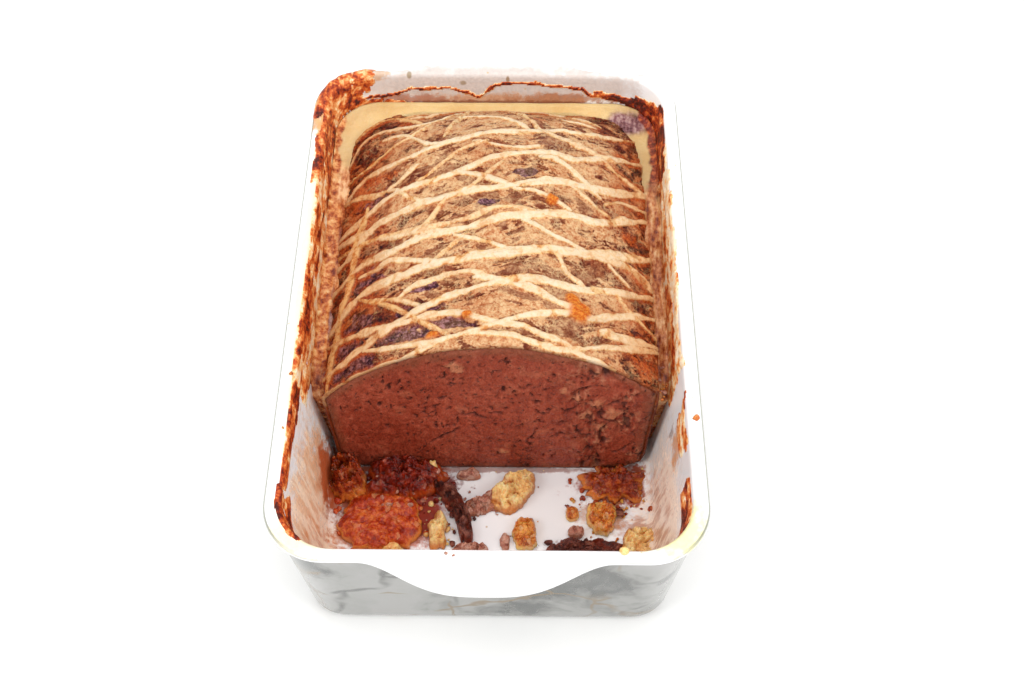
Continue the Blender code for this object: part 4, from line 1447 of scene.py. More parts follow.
@dataclass
class CutFace:
    """The meat that the knife has laid open.

    In millimetres, a split has its middle, its half length and its lean; a knob its middle and its radius.
    """

    form: LoafForm
    columns: int = 220
    rows: int = 132
    skin: float = 0.9 * MM
    thickness: float = 3 * MM
    coarse_span: tuple[float, float] = (18 * MM, 40 * MM)
    dense_middle: tuple[float, float] = (8 * MM, 42 * MM)
    splits: tuple[tuple[float, float, float, float], ...] = (
        (-17.6, 29, 6.5, 0.75), (-6.5, 42, 5, -0.3), (2, 43, 3, 0.2), (15.4, 28, 2, 1.6),
        (17.7, 52, 1.6, 0.2), (18.5, 44, 2, -1.2), (35, 59, 2.2, 0.3), (46, 50, 2.6, 0.5),
        (43, 41, 3.4, -0.4), (30, 47, 2.4, 0.6), (36, 30, 3, -0.2), (-38, 9, 3.4, -0.3), (52, 22, 3, 1.4),
    )
    knobs: tuple[Place, ...] = (
        (-13, 72.5, 3.0), (-11, 70, 1.8), (5, 18.7, 2.0), (40, 50, 2.6), (46, 45, 3.0), (36, 42, 2.4),
        (32, 53, 2.0), (50, 38, 2.4), (27, 58, 1.8), (43, 34, 2.2),
    )
    grain: Grain = field(default_factory=lambda: Grain(29))

    def cracks(self, points: Array) -> Array:
        """1 in the few short cracks of the face."""
        total = np.zeros(len(points))
        x, _, z = points.T / MM
        for middle_x, middle_z, half, lean in self.splits:
            along = np.clip((x - middle_x) / half, -1, 1)
            line = middle_z + lean * (x - middle_x) + 1.8 * self.grain.layers(points + middle_x, 5, 2)
            total = np.maximum(total, (1 - ease(np.abs(z - line), 0.35, 1.0)) * (1 - along**4))
        return total

    def lumps(self, points: Array) -> Array:
        """How far each point is on one of the pale knobs, 0 to 1."""
        total = np.zeros(len(points))
        ragged = self.grain.layers(points + 2.1, 3, 3, 0.6)
        for x, z, radius in self.knobs:
            far = np.hypot(points[:, 0] / MM - x, points[:, 2] / MM - z) / radius
            total = np.maximum(total, 1 - ease(far + 0.6 * ragged, 0.5, 1.1))
        return total

    def flat(self) -> tuple[Array, Array]:
        """The face's points before its relief, and how far each lies from the outline."""
        form = self.form
        share = form.across(self.columns)[None, :]
        up = np.linspace(0, 1, self.rows)[:, None]
        x_top = share * form.half_width
        front = np.full_like(x_top, form.cut_at_foot + 3 * MM)
        z_top = form.top_z(x_top, front)
        z = blend(form.bottom, z_top, up)
        x = share * (form.half_width - form.inset_at(z))
        from_side = np.minimum(1 - np.abs(share), 1.0) * form.half_width + 0 * up
        inward = np.minimum(from_side, (z_top - z) * 0.85)
        inward = np.minimum(inward, z - form.bottom + 0.5 * MM)
        shrink = 1 - self.skin / form.half_width
        x, z = x * shrink, form.bottom + (z - form.bottom) * (1 - self.skin / (form.crown - form.bottom))
        y = form.cut_y(z)
        return np.stack([x, y, z], -1), inward

    def build(self, finish: Finish) -> Piece:
        """Make the cut face.

        Args:
            finish: the finish of the cut meat.

        Returns:
            The finished piece.
        """
        sheet, inward = self.flat()
        points = sheet.reshape(-1, 3)
        inward = inward.ravel()
        wide = points * np.array([0.7, 1.0, 1.25])
        x, _, z = points.T
        coarse = ease(x, *self.coarse_span) * ease(self.grain.at(points, 11), -0.35, 0.25)
        tall = points * np.array([1.0, 1.0, 0.7])
        lumps = self.grain.layers(tall, 4.2, 3, 0.55)
        fine = self.grain.layers(tall + 0.4, 1.5, 2)
        broad = self.grain.at(points + 0.7, 26)
        crack = self.grain.veins(wide + 0.15, 15)
        crack = crack * ease(self.grain.at(points + 0.5, 16), 0.05, 0.35)
        far = np.hypot(x - self.dense_middle[0], 1.6 * (z - self.dense_middle[1]))
        middle = ease(-far, -46 * MM, -20 * MM)
        crowd = ease(self.grain.layers(points + 0.8, 9, 2) + 0.25 * middle + 0.2 * coarse, 0.05, 0.35)
        pores = ease(self.grain.layers(tall + 1.3, 2.0, 2, 0.6), 0.42, 0.62) * crowd
        rare = ease(self.grain.at(tall + 1.9, 1.8), 0.62, 0.82)
        holes = ease(self.grain.layers(tall + 2.7, 3.4, 2, 0.5), 0.3, 0.5) * ease(coarse, 0.3, 0.8)
        pit = np.clip(self.cracks(points) + 0.1 * crack + pores + 0.7 * rare + 0.9 * holes, 0, 1)
        knob = self.lumps(points)
        rise = 0.5 * broad + (0.28 + 1.1 * coarse) * lumps + 0.14 * fine - 0.9 * pit + 0.5 * knob
        rise = rise * MM + 0.35 * MM
        rim = 1 - ease(inward, 0.2 * MM, 1.6 * MM)
        rise = blend(rise, -0.35 * MM, rim)
        points = points.copy()
        points[:, 1] -= rise
        piece = shaped_grid("cut_face", points.reshape(sheet.shape))
        give(piece, "pit", pit)
        give(piece, "coarse", coarse)
        give(piece, "pale", 0.7 * knob * (1 - pit))
        give(piece, "rim", 1 - ease(inward + 2.0 * MM * self.grain.at(points, 6), 1.0 * MM, 5.5 * MM))
        if normals_of(piece)[:, 1].mean() > 0:
            turn_over(piece)
        modify(piece, "SOLIDIFY", thickness=self.thickness, offset=-1.0)
        dress(piece, finish)
        return hand_over(piece, "pate")


# ---- fat and crust round the loaf


@dataclass
class SetFat:
    """Fat and juices that have set between the loaf and the dish.

    Each dark blotch has its middle and half sizes, in millimetres.
    """

    form: LoafForm
    dish: Dish
    level: float = 53.5 * MM
    front_level: float = 49 * MM
    foot: float = 16 * MM
    front: float = -37 * MM
    gap: float = 0.2 * MM
    overlap: float = 1.2 * MM
    steps: int = 420
    across: int = 26
    blotches: tuple[tuple[float, float, float, float], ...] = ((55, 97, 16, 8), (-64, -2, 6, 15))
    grain: Grain = field(default_factory=lambda: Grain(53))

    def path(self, half_x: float, half_y: float, corner: float) -> Array:
        """Evenly spaced points from the left front end round the back to the right front end."""
        straight_x, straight_y = half_x - corner, half_y - corner
        turn = np.linspace(math.pi, math.pi / 2, 24)
        left = [(-half_x, y) for y in np.linspace(self.front, straight_y, 60)[:-1]]
        left += [(-straight_x + corner * math.cos(a), straight_y + corner * math.sin(a)) for a in turn]
        back = [(x, half_y) for x in np.linspace(-straight_x, straight_x, 30)[1:-1]]
        ring = np.array(left + back + [(-x, y) for x, y in reversed(left)])
        return spots_along(ring, np.linspace(0, 1, self.steps))

    def outer(self, z: float) -> Array:
        """The side against the dish at height z."""
        half_x, half_y = self.dish.inner_half(z)
        return self.path(half_x - self.gap, half_y - self.gap, self.dish.corner_at(z))

    def inner(self, z: float) -> Array:
        """The side against the loaf at height z, a little way into its skin."""
        form = self.form
        up = min((z - form.foot) / (form.side_top - form.foot), 1.0)
        lean = form.draft * (1 - up) + self.overlap
        ring = self.path(form.half_width - lean, form.half_length - lean, form.corner - self.overlap)
        ring[:, 0] *= 1 - form.taper * form.along_at(ring[:, 1])
        return ring

    def build(self, finish: Finish) -> Piece:
        """Make the set fat.

        Args:
            finish: its finish.

        Returns:
            The finished piece.
        """
        top_out, top_in = self.outer(self.level - 1.5 * MM), self.inner(self.level)
        middle = (top_out + top_in) / 2
        back = np.clip((middle[:, 1] - self.front) / (0.6 * self.form.half_length - self.front), 0, 1)
        level = blend(self.front_level, self.level, back)
        rows = []
        for share in (0.0, 0.5, 0.85):
            z = blend(self.foot, self.front_level - 2 * MM, share)
            rows.append(ring_at(self.outer(z), z))
        for share in np.linspace(0, 1, self.across):
            flat = blend(top_out, top_in, share)
            spots = ring_at(flat, level)
            calm = ease(flat[:, 1], 40 * MM, 70 * MM)
            bumps = self.grain.layers(spots * np.array([1, 0.4, 1]), 7, 4, 0.5) * blend(1.0, 0.2, calm)
            edge = abs(share * 2 - 1)
            climb = 1.1 * edge**6 - 0.6 * (1 - calm) * (1 - edge)
            drop = ease(-flat[:, 1], -self.front - 6 * MM, -self.front + 1 * MM) * 5
            rows.append(ring_at(flat, level + (bumps + climb - drop - 0.4) * MM))
        for share in (0.85, 0.5, 0.0):
            z = blend(self.foot, self.front_level - 2 * MM, share)
            rows.append(ring_at(self.inner(z), z))
        rows.append(rows[0])
        piece = shaped_grid("set_fat_pool", np.array(rows))
        weld(piece)
        close_holes(piece)
        points = points_of(piece)
        x, y, _ = points.T / MM
        ragged = self.grain.layers(points + 0.4, 9, 3)
        juice = 1 - ease(y + 10 * ragged - np.where(x > 0, 6, 18), 44, 58)
        far = np.min([np.hypot((x - cx) / rx, (y - cy) / ry) for cx, cy, rx, ry in self.blotches], axis=0)
        give(piece, "juice", np.clip(juice, 0, 1))
        give(piece, "blotch", 1 - ease(far + 0.4 * ragged, 0.45, 1.15))
        margin = 65 - 4 * ease(y, 88, 106) + 1.8 * ragged
        red = ease(x, margin - 0.6, margin + 0.6) * ease(y, 58, 66)
        crusted = blend(61.8, 64.4, ease(y, 40, 64)) + 1.8 * ragged - 3 * ease(y, 96, 106)
        give(piece, "red", red)
        give(piece, "crusted", ease(-x, crusted, crusted + 1.2) * ease(y, -34, -20))
        dress(piece, finish)
        return hand_over(piece, "set_fat", "set_fat")


# ---- juices baked on the dish


@dataclass(frozen=True)
class Crust:
    """Juices baked hard in one patch, in millimetres; heights above the rim count outwards over it."""

    low: Place
    high: Place
    thick: float
    burn: float
    soft: float = 3.0
    ragged: float = 3.0


@dataclass(frozen=True)
class Trail:
    """A wandering line of baked juice: the side it is on, places along and up the wall, in millimetres."""

    side: str
    run: tuple[tuple[float, float], ...]
    width: float
    thick: float
    burn: float
    ragged: float = 0.6


CRUSTS = (
    Crust((-80, 84, 58), (-52, 124, 79), 0.6, 0.7, 5.0, 3.6),
    Crust((-80, 90, 52), (-56, 124, 68), 0.7, 0.62, 4.0, 3.6),
    Crust((-80, 50, 50), (-66, 112, 72), 0.7, 0.62, 3.0, 3.0),
    Crust((-80, 56, 55), (-66, 92, 68), 0.8, 0.8, 2.5, 4.5),
    Crust((-80, -46, 50), (-65, 56, 69.0), 0.5, 0.42, 2.4, 1.8),
    Crust((-80, 8, 56), (-65, 44, 68.4), 0.7, 0.66, 2.4, 3.0),
    Crust((-80, -34, 56), (-65, 6, 68), 0.7, 0.72, 2.4, 3.0),
    Crust((-80, -60, 59), (-65, -40, 68.2), 0.35, 0.86, 2.0, 1.6),
    Crust((-80, -88, 60), (-65, -58, 68.2), 0.35, 0.66, 2.0, 1.6),
    Crust((-80, -112, 55), (-62, -88, 69.5), 0.4, 0.86, 2.4, 2.2),
    Crust((62, 60, 48), (80, 98, 66), 0.7, 0.9, 2.4, 1.2),
    Crust((58, 92, 50), (80, 114, 58.5), 0.6, 0.95, 1.8, 0.8),
    Crust((62, -40, 44), (80, 78, 59.5), 0.6, 0.5, 1.6, 2.4),
    Crust((62, -36, 57.5), (80, 74, 67.2), 0.5, 0.18, 2.0, 3.4),
    Crust((62, -68, 52), (80, -50, 65), 0.3, 0.5, 2.4, 4.5),
    Crust((62, -104, 50), (80, -80, 66), 0.4, 0.78, 3.0, 2.4),
    Crust((-66, 104, 50), (-34, 120, 56), 0.4, 0.74, 1.6, 3.0),
)

TRAILS = (
    Trail("back", (
        (-62, 56), (-50, 57), (-43, 58), (-37, 61), (-28, 61), (-22, 62), (-16, 60), (-11, 59), (-7, 57),
        (-4, 60), (0, 63), (8, 64.3), (17, 63.8), (28, 62.4), (37, 61), (40, 58), (50, 56.3), (60, 54),
        (66, 50),
    ), 1.1, 0.5, 0.95),
    Trail("back", ((42, 59), (50, 57.6), (57, 56), (66, 54)), 2.6, 0.6, 0.95, 0.4),
    Trail("right", ((60, 58), (74, 61), (86, 63), (96, 61.5), (104, 59), (114, 56.5)), 4.0, 0.6, 0.9, 0.8),
)


@dataclass
class Residue:
    """Juice and fat baked on the dish's inner wall, its lip and part of its rim.

    front_gap is the share of the way round left bare at each end; the last three fields are in millimetres.
    """

    dish: Dish
    columns: int = 1000
    low: float = 45.5 * MM
    wall_rows: int = 34
    lip_rows: int = 5
    rim_rows: int = 10
    rim_reach: float = 5.2 * MM
    front_gap: float = 0.055
    thinnest: float = 0.06 * MM
    depth: float = 0.3 * MM
    side_wall: float = 60
    side_streaks: float = 62
    back_wall: float = 100
    grain: Grain = field(default_factory=lambda: Grain(83))

    def ring(self, inset: float, z: float) -> Array:
        """Points at height z, from the left front corner round the back to the right front one."""
        loop = self.dish.inner_ring(inset, z)
        front = np.argmin(np.abs(loop[:, 0]) + np.where(loop[:, 1] < 0, 0, 1))
        loop = np.roll(loop, -front, axis=0)
        loop = np.vstack([loop, loop[:1]])[::-1]
        return spots_along(loop, np.linspace(self.front_gap, 1 - self.front_gap, self.columns))

    def sheet(self) -> Array:
        """Rows of points up the wall, over the lip and out on the rim."""
        dish = self.dish
        edge = dish.rim_height - dish.lip_round * dish.lip_fall
        rows = [self.ring(0.0, z) for z in np.linspace(self.low, edge, self.wall_rows)]
        for angle in np.radians(np.linspace(5, 90, self.lip_rows + 1)[1:]):
            drop = dish.lip_round * (1 - math.sin(angle)) * dish.lip_fall
            rows.append(self.ring(-dish.lip_round * (1 - math.cos(angle)), dish.rim_height - drop))
        for share in np.linspace(0, 1, self.rim_rows + 1)[1:]:
            row = self.ring(-dish.lip_round - share * (self.rim_reach - dish.lip_round), dish.rim_height)
            row[:, 2] -= self.roll_off(row)
            rows.append(row)
        return np.array(rows)

    def roll_off(self, points: Array) -> Array:
        """How far the rim has rolled down under each point."""
        dish = self.dish
        corner, edge = dish.rim_corner, dish.rim_depth / 2
        inside = -past_oblong(points[:, :2], dish.rim_width / 2, dish.rim_length / 2, corner)
        return edge - np.sqrt(np.maximum(edge**2 - np.clip(edge - inside, 0, edge * 0.98) ** 2, 0))

    def layer(self, points: Array) -> tuple[Array, Array]:
        """How thick and how dark the baked juice is at each point."""
        spots = points / MM
        half_x, half_y = (half / MM for half in self.dish.inner_half(self.dish.rim_height))
        outside = past_oblong(spots[:, :2], half_x, half_y, self.dish.inner_corner / MM)
        over = outside > 0.3
        spots[:, 2] = np.where(over, self.dish.rim_height / MM + outside * 1.6, spots[:, 2])
        thick = np.zeros(len(points))
        burn = np.full(len(points), 0.3)
        stretch = points * np.array([1.0, 0.35, 1.0])
        torn = self.grain.layers(stretch, 6, 3, 0.5)
        body = 0.68 + 0.7 * self.grain.layers(stretch + 0.3, 4, 4, 0.65)
        for crust in CRUSTS:
            inside = np.minimum(spots - np.array(crust.low), np.array(crust.high) - spots).min(1)
            share = ease(inside + crust.ragged * torn, 0.0, crust.soft)
            value = crust.thick * share * np.clip(body, 0.0, 2)
            burn = np.where(value > thick, crust.burn, burn)
            thick = np.maximum(thick, value)
        x, y = spots[:, 0], spots[:, 1]
        sides = {"back": (0, y > self.back_wall), "right": (1, x > self.side_wall)}
        for trail in TRAILS:
            axis, here = sides[trail.side]
            line = np.array(trail.run, float)
            order = np.argsort(line[:, 0])
            along = spots[:, axis]
            height = np.interp(along, line[order, 0], line[order, 1])
            slope = np.interp(along, line[order, 0], np.gradient(line[order, 1], line[order, 0]))
            gap = np.abs(spots[:, 2] - height + trail.ragged * self.grain.layers(points + 0.8, 5, 3))
            gap = gap / np.sqrt(1 + slope**2)
            reach = here & (along > line[:, 0].min()) & (along < line[:, 0].max())
            width = trail.width * (0.75 + 0.5 * self.grain.at(points + 0.5, 7))
            value = trail.thick * (1 - ease(gap, 0.25 * width, 0.75 * width)) * reach
            burn = np.where(value > 0.6 * thick, np.where(value > 0.05, trail.burn, burn), burn)
            thick = np.maximum(thick, value)
        at_side = np.abs(spots[:, :1]) > self.side_streaks
        along_wall = np.where(at_side, [[1.0, 0.1, 1.0]], [[0.1, 1.0, 1.0]])
        streaks = self.grain.layers(points * blend(along_wall, 1.0, 0.25) + 0.9, 3.2, 3, 0.7)
        blots = self.grain.layers(points + 0.45, 8, 3)
        return thick * MM, np.clip(burn - 0.06 + 0.35 * streaks + 0.3 * blots, 0, 1)

    def build(self, finish: Finish) -> Piece:
        """Make the baked-on juices.

        Args:
            finish: their finish.

        Returns:
            The finished piece.
        """
        sheet = self.sheet()
        points = sheet.reshape(-1, 3)
        thick, burn = self.layer(points)
        piece = shaped_grid("baked_on_juices", sheet)
        normals = normals_of(piece)
        if (normals[:, 0] * points[:, 0]).mean() > 0:
            normals = -normals
            turn_over(piece)
        put_points(piece, points + normals * (thick + 0.03 * MM)[:, None])
        give(piece, "burn", burn)
        bare = thick < self.thinnest
        corners = np.empty(len(piece.data.polygons) * 4, np.int32)
        piece.data.polygons.foreach_get("vertices", corners)
        with editing(piece, "FACE", np.flatnonzero(bare[corners.reshape(-1, 4)].all(1))):
            bpy.ops.mesh.delete(type="FACE")
        modify(piece, "SOLIDIFY", thickness=self.depth, offset=-1.0)
        dress(piece, finish)
        return hand_over(piece, "set_fat")


# ---- scraps


@dataclass(frozen=True)
class ScrapShape:
    """How one scrap is shaped.

    Its turn is in degrees, its slimness is its width as a share of its length, and its flatness runs from
    a mound (1) to a slab with steep sides (4).
    """

    kind: Scrap
    turn: float = 0.0
    slimness: float = 0.0
    flatness: float = 2.0
    ragged: float = 0.22
    lumpy: float = 1.0
    swell: float = 1.0
    bend: float = 0.0


@dataclass
class ScrapMaker:
    """Shapes the torn, half-melted scraps that stand for the plain ones of the frame."""

    around: int = 150
    rings: int = 44
    sunk: float = 0.15 * MM
    squareness: float = 2.6
    grain: Grain = field(default_factory=lambda: Grain(67))

    def reach(
        self, angle: Array, half: tuple[float, float], shape: ScrapShape, seed: float
    ) -> tuple[Array, Array]:
        """How far the scrap's outline lies from its middle at each angle, and how ragged it is there."""
        along, across = np.abs(np.cos(angle) / half[0]), np.abs(np.sin(angle) / half[1])
        even = (along**self.squareness + across**self.squareness) ** (-1 / self.squareness)
        size = max(half)
        circle = np.stack([np.cos(angle) * size, np.sin(angle) * size, np.full_like(angle, seed)], -1)
        torn = self.grain.layers(circle, 6, 4, 0.5)
        return even * shape.swell, shape.ragged * torn

    def build(self, node: str, shape: ScrapShape, finish: Finish) -> Piece:
        """Make one scrap.

        Args:
            node: the CAD node it stands for.
            shape: how it is shaped.
            finish: its finish.

        Returns:
            The finished piece.
        """
        low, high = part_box(node)
        half_x, half_y = (high.x - low.x) / 2, (high.y - low.y) / 2
        turn = math.radians(shape.turn)
        half = (half_x, half_y)
        if shape.slimness:
            length = math.hypot(half_x, half_y)
            half = (length, length * shape.slimness)
        seed = (low.x * 31 + low.y * 17) * 0.2
        angle = np.linspace(0, 2 * math.pi, self.around, endpoint=False)
        even, torn = self.reach(angle, half, shape, seed)
        share = np.linspace(0, 1, self.rings + 1)[1:, None] ** 0.8
        out = even * (0.98 + torn * share**1.5) * share
        along, across = np.cos(angle) * out, np.sin(angle) * out
        across = across + shape.bend * half[0] * ((along / half[0]) ** 2 - 0.33)
        x = (low.x + high.x) / 2 + along * math.cos(turn) - across * math.sin(turn)
        y = (low.y + high.y) / 2 + along * math.sin(turn) + across * math.cos(turn)
        spots = np.stack([x, y, np.zeros_like(x)], -1).reshape(-1, 3)
        mound = np.maximum(1 - share ** (2 * shape.flatness), 0) ** 0.5
        lumps = self.grain.layers(spots, 5.5, 4, 0.62).reshape(x.shape)
        dents = self.grain.veins(spots + 0.3, 7).reshape(x.shape)
        uneven = 0.78 + 0.34 * shape.lumpy * lumps - 0.2 * shape.lumpy * dents
        height = (high.z - low.z) * mound * np.clip(uneven, 0.12, 1.15)
        side = 0.4 * MM * self.grain.layers(spots + 0.7, 2.5, 2).reshape(x.shape) * mound
        top = np.stack([x + side, y + side, low.z - self.sunk + height], -1)
        foot = top[-1:].copy()
        foot[..., 2] = low.z - self.sunk
        rows = np.concatenate([top, foot])
        rows = np.concatenate([rows, rows[:, :1]], axis=1)
        piece = shaped_grid(f"{node}_piece", rows)
        weld(piece)
        close_holes(piece)
        tall = (points_of(piece)[:, 2] - low.z) / max(high.z - low.z, 1e-6)
        give(piece, "thin", 1 - ease(tall, 0.1, 0.75))
        dress(piece, finish)
        return hand_over(piece, shape.kind.slot, node)


SCRAP_SHAPES = {
    "jelly_slab": ScrapShape(Scrap.JELLY, flatness=3.0, ragged=0.14, lumpy=0.5, swell=1.12),
    "jelly_heap": ScrapShape(Scrap.DARK_JELLY, flatness=1.7, ragged=0.28, lumpy=0.75, swell=1.34),
    "jelly_left": ScrapShape(Scrap.BROTH, turn=14, flatness=1.3, ragged=0.4, lumpy=1.1, swell=1.5),
    "jelly_right": ScrapShape(Scrap.BROTH, flatness=1.3, ragged=0.4, lumpy=1.1, swell=1.1),
    "crust_strip": ScrapShape(
        Scrap.CRUST, turn=-60, slimness=0.22, flatness=1.4, ragged=0.3, lumpy=1.5, bend=-0.24
    ),
    "fat_strip": ScrapShape(Scrap.FAT, flatness=2.0, ragged=0.3, lumpy=1.3),
    "fat_sliver": ScrapShape(Scrap.FAT, flatness=1.2, ragged=0.3),
    "meat_crumb": ScrapShape(Scrap.MEAT, turn=32, slimness=0.5, flatness=1.6, ragged=0.34, lumpy=1.6),
    "fat_lump": ScrapShape(Scrap.FAT, turn=48, slimness=0.62, flatness=1.8, ragged=0.18, lumpy=1.1),
    "jelly_scrap": ScrapShape(Scrap.AMBER, flatness=2.4, ragged=0.18, lumpy=0.7),
    "meat_sliver": ScrapShape(Scrap.MEAT, flatness=1.6, ragged=0.3),
    "fat_bead": ScrapShape(Scrap.AMBER, flatness=1.6, ragged=0.12, lumpy=0.6),
    "jelly_lump": ScrapShape(Scrap.AMBER, flatness=1.8, ragged=0.22, lumpy=1.0),
    "meat_scrap": ScrapShape(Scrap.MEAT, flatness=1.8, ragged=0.2),
    "crust_flake": ScrapShape(Scrap.CRUST, flatness=1.8, ragged=0.34, lumpy=1.4),
    "corner_lump": ScrapShape(Scrap.FAT, flatness=1.6, ragged=0.2, lumpy=1.1, swell=1.2),
    "corner_scrap": ScrapShape(Scrap.FAT, flatness=1.8, ragged=0.26, lumpy=1.4),
    "front_scrap": ScrapShape(Scrap.MEAT, flatness=1.8, ragged=0.26, lumpy=1.4),
    "foot_crumb": ScrapShape(Scrap.MEAT, flatness=1.6, ragged=0.26),
}


@dataclass(frozen=True)
class CrumbField:
    """Crumbs strewn over one oblong of the floor, in millimetres."""

    kind: Scrap
    low: tuple[float, float]
    high: tuple[float, float]
    count: int
    largest: float
    level: float = 6.2


CRUMB_FIELDS = (
    CrumbField(Scrap.FAT, (-60, -86), (62, -46), 22, 0.5),
    CrumbField(Scrap.MEAT, (-60, -86), (62, -46), 26, 0.5),
    CrumbField(Scrap.FAT, (-58, -90), (-8, -84.5), 60, 2.2),
    CrumbField(Scrap.FAT, (42, -90), (62, -78), 22, 1.9),
    CrumbField(Scrap.AMBER, (32, -78), (50, -60), 26, 1.0),
    CrumbField(Scrap.BROTH, (28, -66), (62, -48), 60, 1.4),
    CrumbField(Scrap.AMBER, (30, -68), (60, -58), 26, 1.0),
    CrumbField(Scrap.DARK_JELLY, (-52, -66), (-14, -46), 54, 2.2),
    CrumbField(Scrap.MEAT, (-46, -66), (-16, -48), 34, 1.7, 11.0),
    CrumbField(Scrap.MEAT, (-52, -84), (-24, -46), 30, 1.6),
    CrumbField(Scrap.JELLY, (-60, -84), (-22, -56), 50, 2.4),
    CrumbField(Scrap.FAT, (-26, -84), (-14, -58), 26, 2.0),
    CrumbField(Scrap.CRUST, (16, -88), (52, -78), 26, 1.8),
    CrumbField(Scrap.CRUST, (-22, -80), (-6, -52), 20, 1.6),
    CrumbField(Scrap.MEAT, (-12, -70), (4, -56), 18, 1.2),
    CrumbField(Scrap.MEAT, (57, -41), (65, -26), 34, 1.3, 51.0),
    CrumbField(Scrap.AMBER, (58, -42), (66, -30), 22, 1.1, 51.6),
)

LONE_CRUMBS = (
    (Scrap.CRUST, (50, -65.6, 7.9), 1.75), (Scrap.FAT, (46, -111.5, 68.6), 1.9),
    (Scrap.MEAT, (-13, -113, 68.2), 0.7), (Scrap.MEAT, (-10.5, -113.6, 68.2), 0.5),
    (Scrap.AMBER, (73.2, -59.6, 68.2), 1.3), (Scrap.AMBER, (-72, -65, 68.1), 0.7),
    (Scrap.AMBER, (-71.5, -42, 68.1), 0.8),
)


@dataclass
class CrumbMaker:
    """Strews crumbs of each kind over the dish's floor, every kind as one piece."""

    dish: Dish
    draw: np.random.Generator = field(default_factory=lambda: np.random.default_rng(19))
    grain: Grain = field(default_factory=lambda: Grain(71))
    fine_above: float = 1.0 * MM

    def crumb(self, place: Place, radius: float) -> Piece:
        """One torn crumb, a little flattened."""
        deselect()
        steps = 2 if radius > self.fine_above else 1
        bpy.ops.mesh.primitive_ico_sphere_add(subdivisions=steps, radius=radius, location=(0, 0, 0))
        piece = bpy.context.object
        points = points_of(piece) * self.draw.uniform(0.65, 1.25, 3) * np.array([1, 1, 0.75])
        turn = self.draw.uniform(0, math.tau)
        across, ahead = math.cos(turn), math.sin(turn)
        points = points @ np.array([[across, ahead, 0], [-ahead, across, 0], [0, 0, 1]])
        swell = 1 + 0.35 * self.grain.layers(points + self.draw.uniform(0, 1), radius / MM * 1.3, 2)
        put_points(piece, points * swell[:, None] + np.array(place))
        give(piece, "thin", np.full(len(points), 0.3))
        return piece

    def build(self, finishes: dict[Scrap, Finish]) -> None:
        """Make the crumbs of every kind.

        Args:
            finishes: the finish of each kind.
        """
        strewn: dict[Scrap, list[Piece]] = {kind: [] for kind in Scrap}
        for spread in CRUMB_FIELDS:
            for _ in range(spread.count):
                x, y = self.draw.uniform(spread.low, spread.high) * MM
                radius = spread.largest * self.draw.power(0.7) * 0.7 * MM + 0.22 * MM
                rest = max(spread.level * MM, self.dish.floor_at(x, y))
                strewn[spread.kind].append(self.crumb((x, y, rest + radius * 0.4), radius))
        for kind, place, radius in LONE_CRUMBS:
            strewn[kind].append(self.crumb(in_metres(*place), radius * MM))
        for kind, pieces in strewn.items():
            piece = join(pieces)
            piece.name = piece.data.name = f"{kind.value}_crumbs"
            dress(piece, finishes[kind])
            hand_over(piece, kind.slot)


# ---- studio


@dataclass
class Studio:
    """Pale floor, soft light from above and the camera."""

    floor_tone: Colour = (0.93, 0.93, 0.92)
    camera_place: Place = (0.01054, -0.3089, 0.4702)
    camera_pitch: float = 35.0
    camera_turn: float = 0.51
    lens: float = 47.09

    def build(self) -> None:
        """Set the floor, the lights, the sky and the camera."""
        self.floor()
        self.light("key", (0.0, 0.25, 1.15), 1.3, 8.0)
        self.light("fill", (0.35, -1.2, 0.9), 1.0, 1.5)
        self.light("left", (-0.9, -0.45, 0.7), 0.6, 6.0)
        self.light("right", (0.9, -0.45, 0.7), 0.6, 6.0)
        world = bpy.data.worlds.new("studio_sky")
        bpy.context.scene.world = world
        world.use_nodes = True
        sky = world.node_tree.nodes["Background"]
        sky.inputs["Color"].default_value = (1.0, 1.0, 1.0, 1.0)
        sky.inputs["Strength"].default_value = 0.7
        bpy.context.scene.view_settings.view_transform = "Standard"
        self.camera()

    def floor(self) -> None:
        """A pale floor under the dish."""
        deselect()
        bpy.ops.mesh.primitive_plane_add(size=6.0, location=(0, 0, 0))
        floor = bpy.context.object
        floor.name = floor.data.name = "floor"
        paint = Paint("studio_floor")
        cloud = paint.noise(400, 2.0)
        colour = paint.mixed(cloud, self.floor_tone, tuple(c * 0.99 for c in self.floor_tone))
        floor.data.materials.append(paint.finish(colour, 0.6))

    def light(self, name: str, place: Place, size: float, power: float) -> None:
        """A square soft light that faces the dish."""
        data = bpy.data.lights.new(name, "AREA")
        data.shape = "SQUARE"
        data.size = size
        data.energy = power
        lamp = bpy.data.objects.new(name, data)
        bpy.context.scene.collection.objects.link(lamp)
        lamp.location = place
        lamp.rotation_euler = (Vector((0, 0, 0.05)) - Vector(place)).to_track_quat("-Z", "Y").to_euler()

    def camera(self) -> None:
        """The camera, looking down on the cut face."""
        data = bpy.data.cameras.new("camera")
        data.lens = self.lens
        data.sensor_width = 36.0
        data.clip_start = 0.01
        made = bpy.data.objects.new("camera", data)
        bpy.context.scene.collection.objects.link(made)
        made.location = self.camera_place
        made.rotation_euler = (math.radians(self.camera_pitch), 0.0, math.radians(self.camera_turn))
        bpy.context.scene.camera = made


